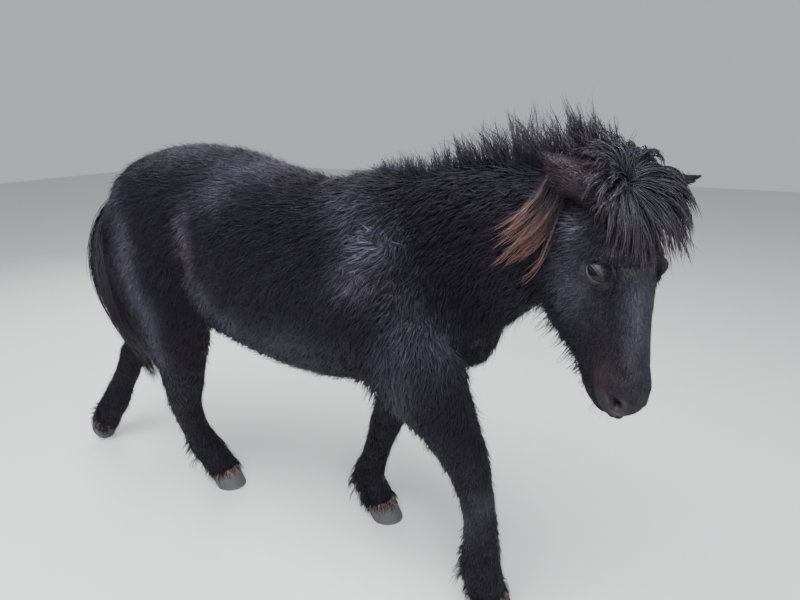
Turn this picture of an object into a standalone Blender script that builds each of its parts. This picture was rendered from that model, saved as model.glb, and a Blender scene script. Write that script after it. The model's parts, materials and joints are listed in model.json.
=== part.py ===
"""A young Icelandic horse in winter coat, life size, walking with its head turned to its right.

Metres, +Z up. The horse faces +X and its left side is +Y. The origin is on the floor, under the
middle of the whole model. Flesh is lofted from rings of named sizes, fused into one body and
parted by thin cuts. Mane, forelock, beard, tail and feather are loops of flat, tapered locks.
"""

import math

import bpy
import numpy as np
from mathutils import Matrix, Vector
from mathutils.bvhtree import BVHTree

SEED = 7
GAP = 0.0003  # left between nodes that meet

# Driving sizes
HEAD_LENGTH = 0.49  # poll to lips
POLL = Vector((1.13, -0.28, 1.345))
HEAD_YAW = math.radians(-39)  # the head is turned to the horse's right
HEAD_DROP = math.radians(80)  # the face line hangs this far below level
EYE_RADIUS = 0.0215
EYE_SHARE, EYE_OUT, EYE_SIDE = 0.402, 0.001, 0.0735  # place of the eye on the head
LID_THICK, SLIT_LENGTH, SLIT_HEIGHT = 0.004, 0.040, 0.019
HOOF_LENGTH, HOOF_WIDTH = 0.125, 0.112
TOE_HEIGHT, HEEL_HEIGHT = 0.078, 0.050
CORONET_HEIGHT = 0.066
CORONET_LONG, CORONET_WIDE = 0.058, 0.056  # half sizes of a hoof's upper edge
HOOF_BULGE, HEEL_SHARE, HEEL_PINCH = 0.02, 0.86, 0.10

# Trunk rings: x, top, bottom, half width
TRUNK = [
    (-0.640, 1.10, 0.97, 0.05),
    (-0.605, 1.185, 0.87, 0.140),
    (-0.510, 1.262, 0.79, 0.200),
    (-0.400, 1.325, 0.76, 0.235),
    (-0.270, 1.355, 0.735, 0.248),
    (-0.130, 1.345, 0.725, 0.250),
    (0.000, 1.312, 0.690, 0.255),
    (0.150, 1.278, 0.655, 0.258),
    (0.280, 1.262, 0.640, 0.250),
    (0.380, 1.280, 0.645, 0.238),
    (0.480, 1.300, 0.655, 0.220),
    (0.580, 1.285, 0.665, 0.195),
    (0.680, 1.210, 0.668, 0.176),
    (0.745, 1.090, 0.690, 0.160),
    (0.783, 1.000, 0.732, 0.125),
    (0.804, 0.930, 0.790, 0.068),
]

# Neck rings: x, y, z, half width, reach to the crest, reach to the throat
NECK = [
    (0.420, 0.000, 1.050, 0.170, 0.200, 0.250),
    (0.600, -0.010, 1.090, 0.160, 0.200, 0.310),
    (0.740, -0.050, 1.130, 0.140, 0.190, 0.280),
    (0.860, -0.105, 1.165, 0.122, 0.175, 0.212),
    (0.960, -0.165, 1.200, 0.108, 0.150, 0.155),
    (1.035, -0.215, 1.222, 0.098, 0.125, 0.132),
    (1.090, -0.250, 1.230, 0.080, 0.095, 0.110),
]

# Leg rings: x, y, z, half width, reach forward, reach back
FORE_RIGHT = [
    (0.500, -0.130, 1.020, 0.080, 0.130, 0.130),
    (0.560, -0.165, 0.880, 0.095, 0.140, 0.150),
    (0.640, -0.172, 0.760, 0.090, 0.135, 0.135),
    (0.705, -0.163, 0.670, 0.080, 0.108, 0.105),
    (0.748, -0.154, 0.590, 0.070, 0.088, 0.086),
    (0.780, -0.145, 0.520, 0.064, 0.078, 0.074),
    (0.802, -0.138, 0.450, 0.058, 0.062, 0.058),
    (0.815, -0.128, 0.370, 0.053, 0.056, 0.053),
    (0.824, -0.121, 0.290, 0.052, 0.058, 0.055),
    (0.828, -0.115, 0.210, 0.054, 0.060, 0.060),
    (0.830, -0.110, 0.150, 0.057, 0.062, 0.068),
    (0.842, -0.107, 0.100, 0.056, 0.060, 0.062),
    (0.852, -0.105, 0.040, 0.056, 0.060, 0.055),
]
FORE_LEFT = [
    (0.500, 0.130, 1.020, 0.080, 0.130, 0.130),
    (0.490, 0.165, 0.880, 0.095, 0.140, 0.140),
    (0.470, 0.175, 0.740, 0.090, 0.120, 0.120),
    (0.440, 0.168, 0.620, 0.078, 0.095, 0.100),
    (0.408, 0.158, 0.500, 0.066, 0.078, 0.080),
    (0.370, 0.153, 0.400, 0.060, 0.064, 0.064),
    (0.335, 0.150, 0.290, 0.053, 0.054, 0.054),
    (0.308, 0.150, 0.200, 0.052, 0.054, 0.056),
    (0.296, 0.149, 0.145, 0.056, 0.060, 0.066),
    (0.314, 0.149, 0.100, 0.056, 0.060, 0.060),
    (0.344, 0.148, 0.040, 0.056, 0.060, 0.055),
]
HIND_RIGHT = [
    (-0.360, -0.120, 1.100, 0.100, 0.200, 0.180),
    (-0.340, -0.160, 0.950, 0.105, 0.205, 0.185),
    (-0.315, -0.162, 0.820, 0.100, 0.210, 0.180),
    (-0.302, -0.152, 0.700, 0.085, 0.150, 0.138),
    (-0.312, -0.130, 0.580, 0.072, 0.102, 0.098),
    (-0.336, -0.105, 0.490, 0.062, 0.082, 0.084),
    (-0.358, -0.085, 0.415, 0.056, 0.068, 0.072),
    (-0.369, -0.058, 0.330, 0.051, 0.060, 0.062),
    (-0.372, -0.028, 0.250, 0.050, 0.060, 0.062),
    (-0.366, 0.002, 0.180, 0.056, 0.066, 0.074),
    (-0.354, 0.022, 0.130, 0.057, 0.064, 0.072),
    (-0.336, 0.038, 0.080, 0.057, 0.060, 0.062),
    (-0.324, 0.042, 0.040, 0.057, 0.060, 0.058),
]
HIND_LEFT = [
    (-0.380, 0.120, 1.100, 0.100, 0.200, 0.180),
    (-0.400, 0.160, 0.950, 0.105, 0.200, 0.150),
    (-0.450, 0.160, 0.820, 0.098, 0.190, 0.110),
    (-0.540, 0.152, 0.700, 0.085, 0.140, 0.088),
    (-0.660, 0.140, 0.600, 0.070, 0.100, 0.090),
    (-0.780, 0.125, 0.520, 0.060, 0.080, 0.075),
    (-0.855, 0.115, 0.450, 0.056, 0.066, 0.066),
    (-0.905, 0.105, 0.360, 0.052, 0.058, 0.056),
    (-0.952, 0.096, 0.275, 0.052, 0.058, 0.058),
    (-0.990, 0.086, 0.205, 0.057, 0.064, 0.064),
    (-1.020, 0.076, 0.155, 0.056, 0.062, 0.062),
    (-1.048, 0.068, 0.108, 0.056, 0.058, 0.058),
    (-1.074, 0.062, 0.062, 0.054, 0.056, 0.056),
]

# Head rings: share of the length from poll to lips, half width, reach to the front, reach to
# the back, both from the poll-to-lips line, and how much wider the front is than the back
HEAD = [
    (-0.10, 0.030, -0.020, 0.070, 0.00),
    (-0.05, 0.062, 0.012, 0.120, 0.00),
    (0.03, 0.080, 0.030, 0.160, 0.10),
    (0.12, 0.088, 0.042, 0.190, 0.10),
    (0.22, 0.096, 0.054, 0.220, 0.15),
    (0.32, 0.101, 0.059, 0.240, 0.10),
    (0.42, 0.097, 0.056, 0.232, 0.00),
    (0.52, 0.086, 0.058, 0.206, -0.10),
    (0.62, 0.072, 0.055, 0.176, -0.15),
    (0.72, 0.061, 0.050, 0.146, -0.10),
    (0.80, 0.056, 0.044, 0.126, 0.00),
    (0.88, 0.056, 0.040, 0.114, 0.05),
    (0.95, 0.050, 0.026, 0.096, 0.00),
    (1.00, 0.036, 0.008, 0.080, 0.00),
    (1.025, 0.016, -0.016, 0.058, 0.00),
]

# Dock and tail path: x, y, z, half width, reach back, reach forward
TAIL = [
    (-0.560, 0.000, 1.170, 0.045, 0.035, 0.035),
    (-0.640, 0.000, 1.140, 0.048, 0.040, 0.035),
    (-0.760, 0.015, 1.040, 0.058, 0.045, 0.040),
    (-0.875, 0.060, 0.890, 0.068, 0.050, 0.050),
    (-0.965, 0.125, 0.720, 0.070, 0.048, 0.048),
    (-0.975, 0.180, 0.540, 0.058, 0.040, 0.040),
    (-0.930, 0.210, 0.390, 0.040, 0.028, 0.028),
    (-0.880, 0.215, 0.270, 0.012, 0.010, 0.010),
]

# Ears: place of the root on the head (left of the middle), and the way each points, in shares
# outward, backward and upward
EAR_LENGTH, EAR_WIDTH, EAR_WALL = 0.135, 0.037, 0.006
EAR_SIDE, EAR_SHARE, EAR_OUT = 0.068, 0.080, -0.006
EAR_LIE = {"right": (0.66, 0.50, 0.47), "left": (0.99, -0.04, 0.12)}

# Locks of long hair
LOCK_THICK = 0.0065
MANE_LOCKS, MANE_WIDTH = 33, 0.040
SIDE_LOCKS = 5
FORELOCK_LOCKS, FORELOCK_WIDTH, FORELOCK_LENGTH = 17, 0.044, 0.225
SPIKES = 6
BEARD_LOCKS = 13
TAIL_TIERS = [(0.10, 0.62, 6), (0.27, 0.84, 6), (0.44, 1.00, 6)]  # start, end and count
TAIL_WIDTH = 0.042
FEATHER_LOCKS = 5
COAT_WIDTH = 0.036
CREST = [  # the line the mane grows from: x, y and the length of the hair
    (0.475, 0.000, 0.055),
    (0.620, -0.012, 0.085),
    (0.760, -0.060, 0.115),
    (0.880, -0.120, 0.150),
    (0.980, -0.185, 0.175),
    (1.040, -0.225, 0.165),
]
TRESS_ROOT, TRESS_ROOT_LOW = (0.985, -0.255, 1.365), (1.010, -0.300, 1.300)
TRESS_TIP, TRESS_TIP_LOW = (0.850, -0.290, 1.180), (0.930, -0.320, 1.105)

# Long coat: start and end of each row, the way to the flesh, the lie, length and count
TORSO_COAT = [
    ((-0.08, 0.00, 0.9), (0.38, 0.00, 0.9), (0, 0, 1), (-0.9, 0, -0.4), 0.085, 8),
    ((0.54, -0.2, 1.14), (0.60, -0.2, 0.98), (0, 1, 0), (-0.9, 0, -0.4), 0.100, 4),
    ((0.57, -0.2, 1.05), (0.66, -0.2, 0.84), (0, 1, 0), (-0.4, 0, -1), 0.100, 5),
    ((0.54, 0.2, 1.14), (0.64, 0.2, 0.90), (0, -1, 0), (-0.6, 0, -0.8), 0.100, 5),
]

# Upper and lower end of the feather behind each fetlock
FETLOCKS = {
    "foreleg_right": ((0.828, -0.112, 0.235), (0.830, -0.110, 0.130)),
    "foreleg_left": ((0.312, 0.150, 0.225), (0.298, 0.149, 0.130)),
    "hindleg_right": ((-0.372, -0.018, 0.235), (-0.355, 0.020, 0.130)),
    "hindleg_left": ((-0.960, 0.094, 0.270), (-1.020, 0.076, 0.160)),
}

# Hooves: middle of the sole, way the toe points (degrees from +X) and the middle of the coronet
HOOVES = {
    "fore_right": ((0.882, -0.106, 0.0), -4, (0.847, -0.105, 0.066)),
    "fore_left": ((0.369, 0.147, 0.0), 0, (0.333, 0.148, 0.066)),
    "hind_right": ((-0.296, 0.043, 0.0), 2, (-0.331, 0.041, 0.066)),
}
# The left hind foot is lifting off: its toe is down and its sole faces back
LIFTED_CORONET = (-1.048, 0.067, 0.113)
LIFTED_TURN = math.radians(60)
TOE_LEAN = 0.036  # how far the sole lies ahead of the coronet
BLOCK_HALF, BLOCK_DEEP = 0.11, 0.12  # block that takes a leg off below its coronet


def clear_scene():
    for obj in list(bpy.data.objects):
        bpy.data.objects.remove(obj, do_unlink=True)


def material(name, colour, roughness, metallic=0.0):
    made = bpy.data.materials.new(name)
    made.use_nodes = True
    shader = made.node_tree.nodes["Principled BSDF"]
    shader.inputs["Base Color"].default_value = (*colour, 1.0)
    shader.inputs["Roughness"].default_value = roughness
    shader.inputs["Metallic"].default_value = metallic
    return made


def smooth_rows(rows, count):
    """Rows of station values carried through a Catmull-Rom curve and read at even steps along it."""
    rows = np.array(rows, float)
    ends = np.vstack([2 * rows[0] - rows[1], rows, 2 * rows[-1] - rows[-2]])
    place = np.linspace(0, len(rows) - 1, count)
    left = np.minimum(place.astype(int), len(rows) - 2)
    t = (place - left)[:, None]
    p0, p1, p2, p3 = (ends[left + k] for k in range(4))
    curve = 2 * p1 + (p2 - p0) * t + (2 * p0 - 5 * p1 + 4 * p2 - p3) * t**2
    return (curve + (3 * p1 - p0 - 3 * p2 + p3) * t**3) / 2


def unit(v):
    return v / np.linalg.norm(v, axis=-1, keepdims=True)


def loft(centres, widths, fronts, backs, front, sides, eggs=None, power=2.2):
    """Points and faces of a closed tube: rings square to the path, wider or deeper by station.
    Along the front axis a ring reaches fronts ahead of its centre and backs behind it."""
    count = len(centres)
    along = unit(np.gradient(centres, axis=0))
    front = unit(np.asarray(front, float) - along * (along @ np.asarray(front, float))[:, None])
    side = np.cross(along, front)
    angle = np.arange(sides) * 2 * np.pi / sides
    c = np.sign(np.cos(angle)) * np.abs(np.cos(angle)) ** (2 / power)
    s = np.sign(np.sin(angle)) * np.abs(np.sin(angle)) ** (2 / power)
    eggs = np.zeros(count) if eggs is None else eggs
    across = widths[:, None] * s * (1 + eggs[:, None] * c)
    ahead = np.where(c > 0, fronts[:, None] * c, backs[:, None] * c)
    rings = centres[:, None] + side[:, None] * across[..., None] + front[:, None] * ahead[..., None]
    points = [Vector(p) for p in rings.reshape(-1, 3)]
    faces = [tuple(reversed(range(sides)))]
    for r in range(count - 1):
        a, b = r * sides, (r + 1) * sides
        faces += [(a + k, a + (k + 1) % sides, b + (k + 1) % sides, b + k) for k in range(sides)]
    faces.append(tuple(range((count - 1) * sides, count * sides)))
    return points, faces


def mesh_object(name, points, faces, finish=None):
    mesh = bpy.data.meshes.new(name)
    mesh.from_pydata(points, [], faces)
    mesh.validate()
    obj = bpy.data.objects.new(name, mesh)
    bpy.context.scene.collection.objects.link(obj)
    outwards(obj)
    if finish:
        mesh.materials.append(finish)
    return obj


def outwards(obj):
    """Turns a closed mesh so that its faces point out."""
    mesh = obj.data
    mesh.calc_loop_triangles()
    corners = np.array([[mesh.vertices[i].co for i in t.vertices] for t in mesh.loop_triangles])
    if np.linalg.det(corners).sum() < 0:
        mesh.flip_normals()


def applied(obj):
    """The object with its modifiers made part of its mesh."""
    bpy.context.view_layer.update()
    graph = bpy.context.evaluated_depsgraph_get()
    mesh = bpy.data.meshes.new_from_object(obj.evaluated_get(graph))
    obj.modifiers.clear()
    old = obj.data
    obj.data = mesh
    bpy.data.meshes.remove(old)
    return obj


def boolean(obj, others, operation):
    """Joins or cuts obj by the closed meshes in others, which are then removed. The manifold solver
    is used throughout, because the exact one leaves open edges where many locks cross."""
    group = bpy.data.collections.new("tools")
    for other in others:
        for holder in list(other.users_collection):
            holder.objects.unlink(other)
        group.objects.link(other)
    bpy.context.scene.collection.children.link(group)
    cut = obj.modifiers.new("join", "BOOLEAN")
    cut.operation = operation
    cut.solver = "MANIFOLD"
    cut.operand_type = "COLLECTION"
    cut.collection = group
    applied(obj)
    for other in list(group.objects):
        bpy.data.objects.remove(other, do_unlink=True)
    bpy.data.collections.remove(group)
    return obj


def surfaces(mesh):
    """The closed surfaces of a mesh, each a list of face numbers."""
    parent = list(range(len(mesh.vertices)))

    def top(i):
        while parent[i] != i:
            parent[i] = parent[parent[i]]
            i = parent[i]
        return i

    for a, b in (e.vertices for e in mesh.edges):
        parent[top(a)] = top(b)
    found = {}
    for face in mesh.polygons:
        found.setdefault(top(face.vertices[0]), []).append(face.index)
    return list(found.values())


def volume_of(mesh, faces):
    total = 0.0
    for number in faces:
        corners = [mesh.vertices[i].co for i in mesh.polygons[number].vertices]
        for b, c in zip(corners[1:-1], corners[2:]):
            total += corners[0].dot(b.cross(c)) / 6
    return abs(total)


def kept(obj, faces, name, finish):
    """A new object that holds only these faces of obj."""
    mesh = obj.data
    used = sorted({i for f in faces for i in mesh.polygons[f].vertices})
    number = {old: new for new, old in enumerate(used)}
    points = [mesh.vertices[i].co.copy() for i in used]
    corners = [[number[i] for i in mesh.polygons[f].vertices] for f in faces]
    return mesh_object(name, points, corners, finish)


def largest_only(obj):
    """Keeps the largest closed surface, which fills sealed hollows and drops loose scraps."""
    found = surfaces(obj.data)
    if len(found) < 2:
        return obj
    best = max(found, key=lambda faces: volume_of(obj.data, faces))
    finish = obj.data.materials[0] if obj.data.materials else None
    new = kept(obj, best, obj.name + "_kept", finish)
    name = obj.name
    bpy.data.objects.remove(obj, do_unlink=True)
    new.name = name
    return new


def copy_of(obj, grow=0.0):
    """A copy, its surface moved out by grow."""
    new = bpy.data.objects.new(obj.name + "_copy", obj.data.copy())
    bpy.context.scene.collection.objects.link(new)
    if grow:
        swell = new.modifiers.new("swell", "DISPLACE")
        swell.strength = grow
        swell.mid_level = 0.0
        applied(new)
    return new


def cleared(obj, neighbours):
    """Cuts obj clear of its neighbours by the gap and keeps its largest surface. At the sharp tips of
    locks a swollen copy can fall short, so the neighbour's own shape is taken out as well."""
    for grow in (1.4 * GAP, 0.0):
        boolean(obj, [copy_of(n, grow) for n in neighbours], "DIFFERENCE")
    return largest_only(obj)


def box(name, centre, normal, half, thickness):
    """A square plate of this thickness, facing along normal."""
    turn = Vector(normal).to_track_quat("Z", "Y").to_matrix().to_4x4()
    place = Matrix.Translation(Vector(centre)) @ turn
    signs = [(x, y, z) for z in (-1, 1) for y in (-1, 1) for x in (-1, 1)]
    corners = [place @ Vector((x * half, y * half, z * thickness / 2)) for x, y, z in signs]
    faces = [(0, 1, 3, 2), (4, 5, 7, 6), (0, 1, 5, 4), (2, 3, 7, 6), (0, 2, 6, 4), (1, 3, 7, 5)]
    mesh = bpy.data.meshes.new(name)
    mesh.from_pydata(corners, [], faces)
    obj = bpy.data.objects.new(name, mesh)
    bpy.context.scene.collection.objects.link(obj)
    square_up(obj)
    return obj


def square_up(obj):
    """Gives every face of a closed convex shape an outward turn."""
    mesh = obj.data
    middle = sum((v.co for v in mesh.vertices), Vector()) / len(mesh.vertices)
    for face in mesh.polygons:
        if face.normal.dot(face.center - middle) < 0:
            face.flip()
    mesh.update()


def trunk_loft():
    rows = smooth_rows([(x, 0, (t + b) / 2, w, (t - b) / 2) for x, t, b, w in TRUNK], 44)
    return loft(rows[:, :3], rows[:, 3], rows[:, 4], rows[:, 4], (0, 0, 1), 32)


def limb_loft(stations, front, rings, sides):
    rows = smooth_rows(stations, rings)
    return loft(rows[:, :3], rows[:, 3], rows[:, 4], rows[:, 5], front, sides)


def fused(name, lofts, voxel, triangles):
    """One closed body out of overlapping lofts, thinned to about this many triangles."""
    points, faces = [], []
    for p, f in lofts:
        faces += [[i + len(points) for i in face] for face in f]
        points += p
    obj = mesh_object(name, points, faces)
    skin = obj.modifiers.new("fuse", "REMESH")
    skin.mode = "VOXEL"
    skin.voxel_size = voxel
    ease = obj.modifiers.new("ease", "SMOOTH")
    ease.factor = 0.5
    ease.iterations = 4
    applied(obj)
    thin = obj.modifiers.new("thin", "DECIMATE")
    thin.ratio = triangles / (2 * len(obj.data.polygons))
    return largest_only(applied(obj))


def joined(obj, pieces):
    """The node with these pieces fused to it."""
    return largest_only(boolean(obj, pieces, "UNION"))


def head_axes():
    """Unit vectors of the head: down the face, out of the forehead, and to its left."""
    level = Vector((math.cos(HEAD_YAW), math.sin(HEAD_YAW), 0))
    down = level * math.cos(HEAD_DROP) - Vector((0, 0, 1)) * math.sin(HEAD_DROP)
    out = level * math.sin(HEAD_DROP) + Vector((0, 0, 1)) * math.cos(HEAD_DROP)
    return down, out, Vector((-math.sin(HEAD_YAW), math.cos(HEAD_YAW), 0))


def head_point(share, out, left=0.0):
    """A point of the head: this share of its length below the poll, then out and to the left."""
    down, forward, side = head_axes()
    return POLL + down * share * HEAD_LENGTH + forward * out + side * left


def head_loft(rings, sides):
    down, forward, _ = head_axes()
    rows = smooth_rows(HEAD, rings)
    middle = (rows[:, 2] - rows[:, 3]) / 2
    centres = np.array([head_point(share, m) for share, m in zip(rows[:, 0], middle)])
    half = (rows[:, 2] + rows[:, 3]) / 2
    return loft(centres, rows[:, 1], half, half, forward, sides, rows[:, 4], 2.3)


def ball(name, centre, radius, finish=None, segments=14, rings=9):
    """A closed ball of this many segments round and rings from pole to pole."""
    points = [Vector(centre) + Vector((0, 0, radius))]
    for r in range(1, rings):
        tilt = math.pi * r / rings
        for k in range(segments):
            turn = 2 * math.pi * k / segments
            flat = math.sin(tilt) * radius
            offset = Vector((flat * math.cos(turn), flat * math.sin(turn), math.cos(tilt) * radius))
            points.append(Vector(centre) + offset)
    points.append(Vector(centre) - Vector((0, 0, radius)))
    last = len(points) - 1
    faces = [(0, 1 + k, 1 + (k + 1) % segments) for k in range(segments)]
    for r in range(rings - 2):
        a, b = 1 + r * segments, 1 + (r + 1) * segments
        faces += [(a + k, b + k, b + (k + 1) % segments, a + (k + 1) % segments) for k in range(segments)]
    a = 1 + (rings - 2) * segments
    faces += [(a + (k + 1) % segments, a + k, last) for k in range(segments)]
    return mesh_object(name, points, faces, finish)


def eye_centre(sign):
    return head_point(EYE_SHARE, EYE_OUT, sign * EYE_SIDE)


def eye_axes(sign):
    """Unit vectors of an eye: out of its socket, along its slit to the front, and across it."""
    down, forward, left = head_axes()
    out = (left * sign + forward * 0.42).normalized()
    along = down * 0.86 + forward * 0.62
    along = (along - out * along.dot(out)).normalized()
    return out, along, out.cross(along)


def stretched_ball(name, centre, axes, sizes, segments, rings):
    """A ball with its own half length along each of three axes."""
    made = ball(name, (0, 0, 0), 1.0, segments=segments, rings=rings)
    turn = Matrix([axis * size for axis, size in zip(axes, sizes)]).transposed().to_4x4()
    made.data.transform(Matrix.Translation(centre) @ turn)
    outwards(made)
    return made


def lids(sign):
    """The skin that closes over an eyeball, as a larger ball, and the slit between the lids."""
    axes = eye_axes(sign)
    shell = ball("lids", eye_centre(sign), EYE_RADIUS + LID_THICK, segments=12, rings=8)
    middle = eye_centre(sign) + axes[0] * EYE_RADIUS
    sizes = (EYE_RADIUS * 0.8, SLIT_LENGTH / 2, SLIT_HEIGHT / 2)
    slit = stretched_ball("slit", middle, axes, sizes, 12, 8)
    return shell, slit


def nostril(sign):
    """A comma-shaped pit on the side of the muzzle: a ball stretched up and back."""
    down, forward, left = head_axes()
    along = (down * 0.72 - forward * 0.69).normalized()
    out = (left * sign + forward * 0.25).normalized()
    across = along.cross(out).normalized()
    centre = head_point(0.905, 0.006, sign * 0.045)
    return stretched_ball("nostril", centre, (along, across, out), (0.018, 0.0085, 0.016), 12, 8)


def mouth_groove(head):
    """The line of the mouth: a thin plate round the lips, less what lies 6 mm inside the head."""
    _, _, left = head_axes()
    back, tip = head_point(0.815, -0.047), head_point(1.03, -0.030)
    along = (tip - back).normalized()
    plate = box("mouth", (back + tip) / 2, left.cross(along), (tip - back).length / 2 + 0.002, 0.0035)
    boolean(plate, [copy_of(head, -0.006)], "DIFFERENCE")
    return plate


def make_head(finish, ear_rooms, draw):
    """The head with nostrils, mouth, lids, forelock and beard, and sockets for ears and eyes."""
    head = mesh_object("head", *head_loft(26, 22), finish)
    boolean(head, [nostril(1), nostril(-1)], "DIFFERENCE")
    boolean(head, [mouth_groove(head)], "DIFFERENCE")
    shells, slits = zip(*(lids(sign) for sign in (1, -1)))
    boolean(head, list(shells), "UNION")
    boolean(head, forelock(head, draw) + beard(head, draw), "UNION")
    boolean(head, list(slits) + list(ear_rooms), "DIFFERENCE")
    sockets = [ball("socket", eye_centre(sign), EYE_RADIUS + 1.5 * GAP) for sign in (1, -1)]
    boolean(head, sockets, "DIFFERENCE")
    return largest_only(head)


def ear_axis(side):
    """Where an ear is rooted and the way it points."""
    sign = 1 if side == "left" else -1
    level = Vector((math.cos(HEAD_YAW), math.sin(HEAD_YAW), 0))
    left = Vector((-math.sin(HEAD_YAW), math.cos(HEAD_YAW), 0))
    outward, backward, upward = EAR_LIE[side]
    axis = left * sign * outward - level * backward + Vector((0, 0, 1)) * upward
    return head_point(EAR_SHARE, EAR_OUT, sign * EAR_SIDE), axis.normalized()


def ear(side, finish):
    """A pointed cup: a lofted spindle with a smaller one taken out of its open side. The whole
    spindle, a gap larger, comes back too, as the room that the head keeps free for it."""
    sign = 1 if side == "left" else -1
    level = Vector((math.cos(HEAD_YAW), math.sin(HEAD_YAW), 0))
    left = Vector((-math.sin(HEAD_YAW), math.cos(HEAD_YAW), 0))
    root, axis = ear_axis(side)
    opening = (left * sign * 0.55 + level * 0.6 - Vector((0, 0, 1)) * 0.75).normalized()
    opening = (opening - axis * opening.dot(axis)).normalized()
    place = np.linspace(-0.14, 1, 11)
    rise = np.clip((place + 0.14) / 0.5, 0, 1)
    width = EAR_WIDTH * np.where(place < 0.36, 0.78 + 0.22 * rise, ((1 - place) / 0.64) ** 0.72)
    width = np.maximum(width, 0.0022)
    bend = 0.010 * np.sin(np.pi * np.clip(place, 0, 1))
    path = np.array([root + axis * EAR_LENGTH * p + opening * b for p, b in zip(place, bend)])
    made = mesh_object("ear_" + side, *loft(path, width, width * 0.72, width * 0.72, opening, 12), finish)
    room = copy_of(made, 1.4 * GAP)
    inner = slice(3, 10)
    cup_path = path[inner] + np.array(opening) * (EAR_WIDTH * 0.50)
    cup_width = np.maximum(width[inner] - EAR_WALL, 0.0012)
    cup_width[0] *= 0.4
    cup = mesh_object("cup", *loft(cup_path, cup_width, width[inner] * 0.9, width[inner] * 0.78, opening, 10))
    return largest_only(boolean(made, [cup], "DIFFERENCE")), room


def hoof(name, sole, toe_turn, coronet, finish):
    """A hoof wall from the coronet down to a flat sole, longer at the toe."""
    turn = math.radians(toe_turn)
    toe = Vector((math.cos(turn), math.sin(turn), 0))
    side = Vector((-math.sin(turn), math.cos(turn), 0))
    slope = (TOE_HEIGHT - HEEL_HEIGHT) / HOOF_LENGTH
    rings, sides = 4, 20
    points = []
    for r in range(rings):
        t = r / (rings - 1)
        middle = Vector(coronet).lerp(Vector(sole), t)
        bulge = 1 + HOOF_BULGE * math.sin(math.pi * t)
        long = (CORONET_LONG * (1 - t) + HOOF_LENGTH / 2 * t) * bulge
        wide = (CORONET_WIDE * (1 - t) + HOOF_WIDTH / 2 * t) * bulge
        for k in range(sides):
            angle = 2 * math.pi * k / sides
            c, s = math.cos(angle), math.sin(angle)
            reach = long * c * (1.0 if c > 0 else HEEL_SHARE)
            across = wide * s * (1 - HEEL_PINCH * (c < 0) * c * c)
            lift = Vector((0, 0, (slope * reach - GAP) * (1 - t)))
            points.append(middle + toe * reach + side * across + lift)
    faces = [tuple(range(sides)), tuple(reversed(range((rings - 1) * sides, rings * sides)))]
    for r in range(rings - 1):
        a, b = r * sides, (r + 1) * sides
        faces += [(a + k, b + k, b + (k + 1) % sides, a + (k + 1) % sides) for k in range(sides)]
    return mesh_object(name, points, faces, finish)


def lifted_hoof(finish):
    """The left hind hoof, built flat, then tipped over its toe and cut level where the toe rests."""
    made = hoof("hoof_hind_left", (TOE_LEAN, 0, 0), 0, (0, 0, CORONET_HEIGHT), finish)
    pivot = Vector((0, 0, CORONET_HEIGHT))
    turn = Matrix.Rotation(LIFTED_TURN, 4, "Y")
    made.data.transform(Matrix.Translation(Vector(LIFTED_CORONET)) @ turn @ Matrix.Translation(-pivot))
    floor = box("floor", (LIFTED_CORONET[0], LIFTED_CORONET[1], -0.1), (0, 0, 1), 0.3, 0.2)
    return largest_only(boolean(made, [floor], "DIFFERENCE"))


def coronet_cutters():
    """Blocks that take away each leg's flesh below its sloping coronet."""
    slope = math.atan((TOE_HEIGHT - HEEL_HEIGHT) / HOOF_LENGTH)
    made = []
    for _, toe_turn, coronet in HOOVES.values():
        turn = math.radians(toe_turn)
        toe = Vector((math.cos(turn), math.sin(turn), 0))
        normal = Vector((0, 0, math.cos(slope))) - toe * math.sin(slope)
        made.append(box("coronet", Vector(coronet) - normal * BLOCK_DEEP / 2, normal, BLOCK_HALF, BLOCK_DEEP))
    normal = Matrix.Rotation(LIFTED_TURN, 3, "Y") @ Vector((-math.sin(slope), 0, math.cos(slope)))
    middle = Vector(LIFTED_CORONET) - normal * BLOCK_DEEP / 2
    made.append(box("coronet", middle, normal, BLOCK_HALF, BLOCK_DEEP))
    return made


def parting_cuts():
    """Plates as thin as the gap, where neck and legs leave the trunk."""
    slant = Vector((0.84, 0.0, 0.54))
    return [
        box("part_neck", (0.60, 0.0, 1.08), slant, 0.45, GAP),
        box("part_fore_right", (0.715, -0.163, 0.648), (0, 0, 1), 0.155, GAP),
        box("part_fore_left", (0.45, 0.167, 0.628), (0, 0, 1), 0.150, GAP),
        box("part_hind_right", (-0.300, -0.150, 0.690), (0, 0, 1), 0.195, GAP),
        box("part_hind_left", (-0.555, 0.160, 0.690), (0.70, 0.08, 0.71), 0.175, GAP),
    ]


PARTS = {
    "torso": (0.0, 0.0, 1.0),
    "neck": (0.90, -0.12, 1.2),
    "foreleg_right": (0.80, -0.13, 0.35),
    "foreleg_left": (0.35, 0.13, 0.3),
    "hindleg_right": (-0.35, -0.08, 0.38),
    "hindleg_left": (-0.85, 0.115, 0.45),
}


def parted(body, finish):
    """The body's closed pieces as named nodes, each known by the place nearest its middle."""
    boolean(body, parting_cuts() + coronet_cutters(), "DIFFERENCE")
    pieces = sorted(surfaces(body.data), key=lambda faces: -volume_of(body.data, faces))[: len(PARTS)]
    nodes = {}
    for faces in pieces:
        middle = sum((body.data.polygons[f].center for f in faces), Vector()) / len(faces)
        name = min(PARTS, key=lambda part: (Vector(PARTS[part]) - middle).length)
        nodes[name] = kept(body, faces, name, finish)
    bpy.data.objects.remove(body, do_unlink=True)
    return nodes


def tree_of(*nodes):
    """A search tree over the triangles of these nodes."""
    points, faces = [], []
    for node in nodes:
        mesh = node.data
        mesh.calc_loop_triangles()
        faces += [tuple(i + len(points) for i in t.vertices) for t in mesh.loop_triangles]
        points += [v.co.copy() for v in mesh.vertices]
    return BVHTree.FromPolygons(points, faces)


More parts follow.
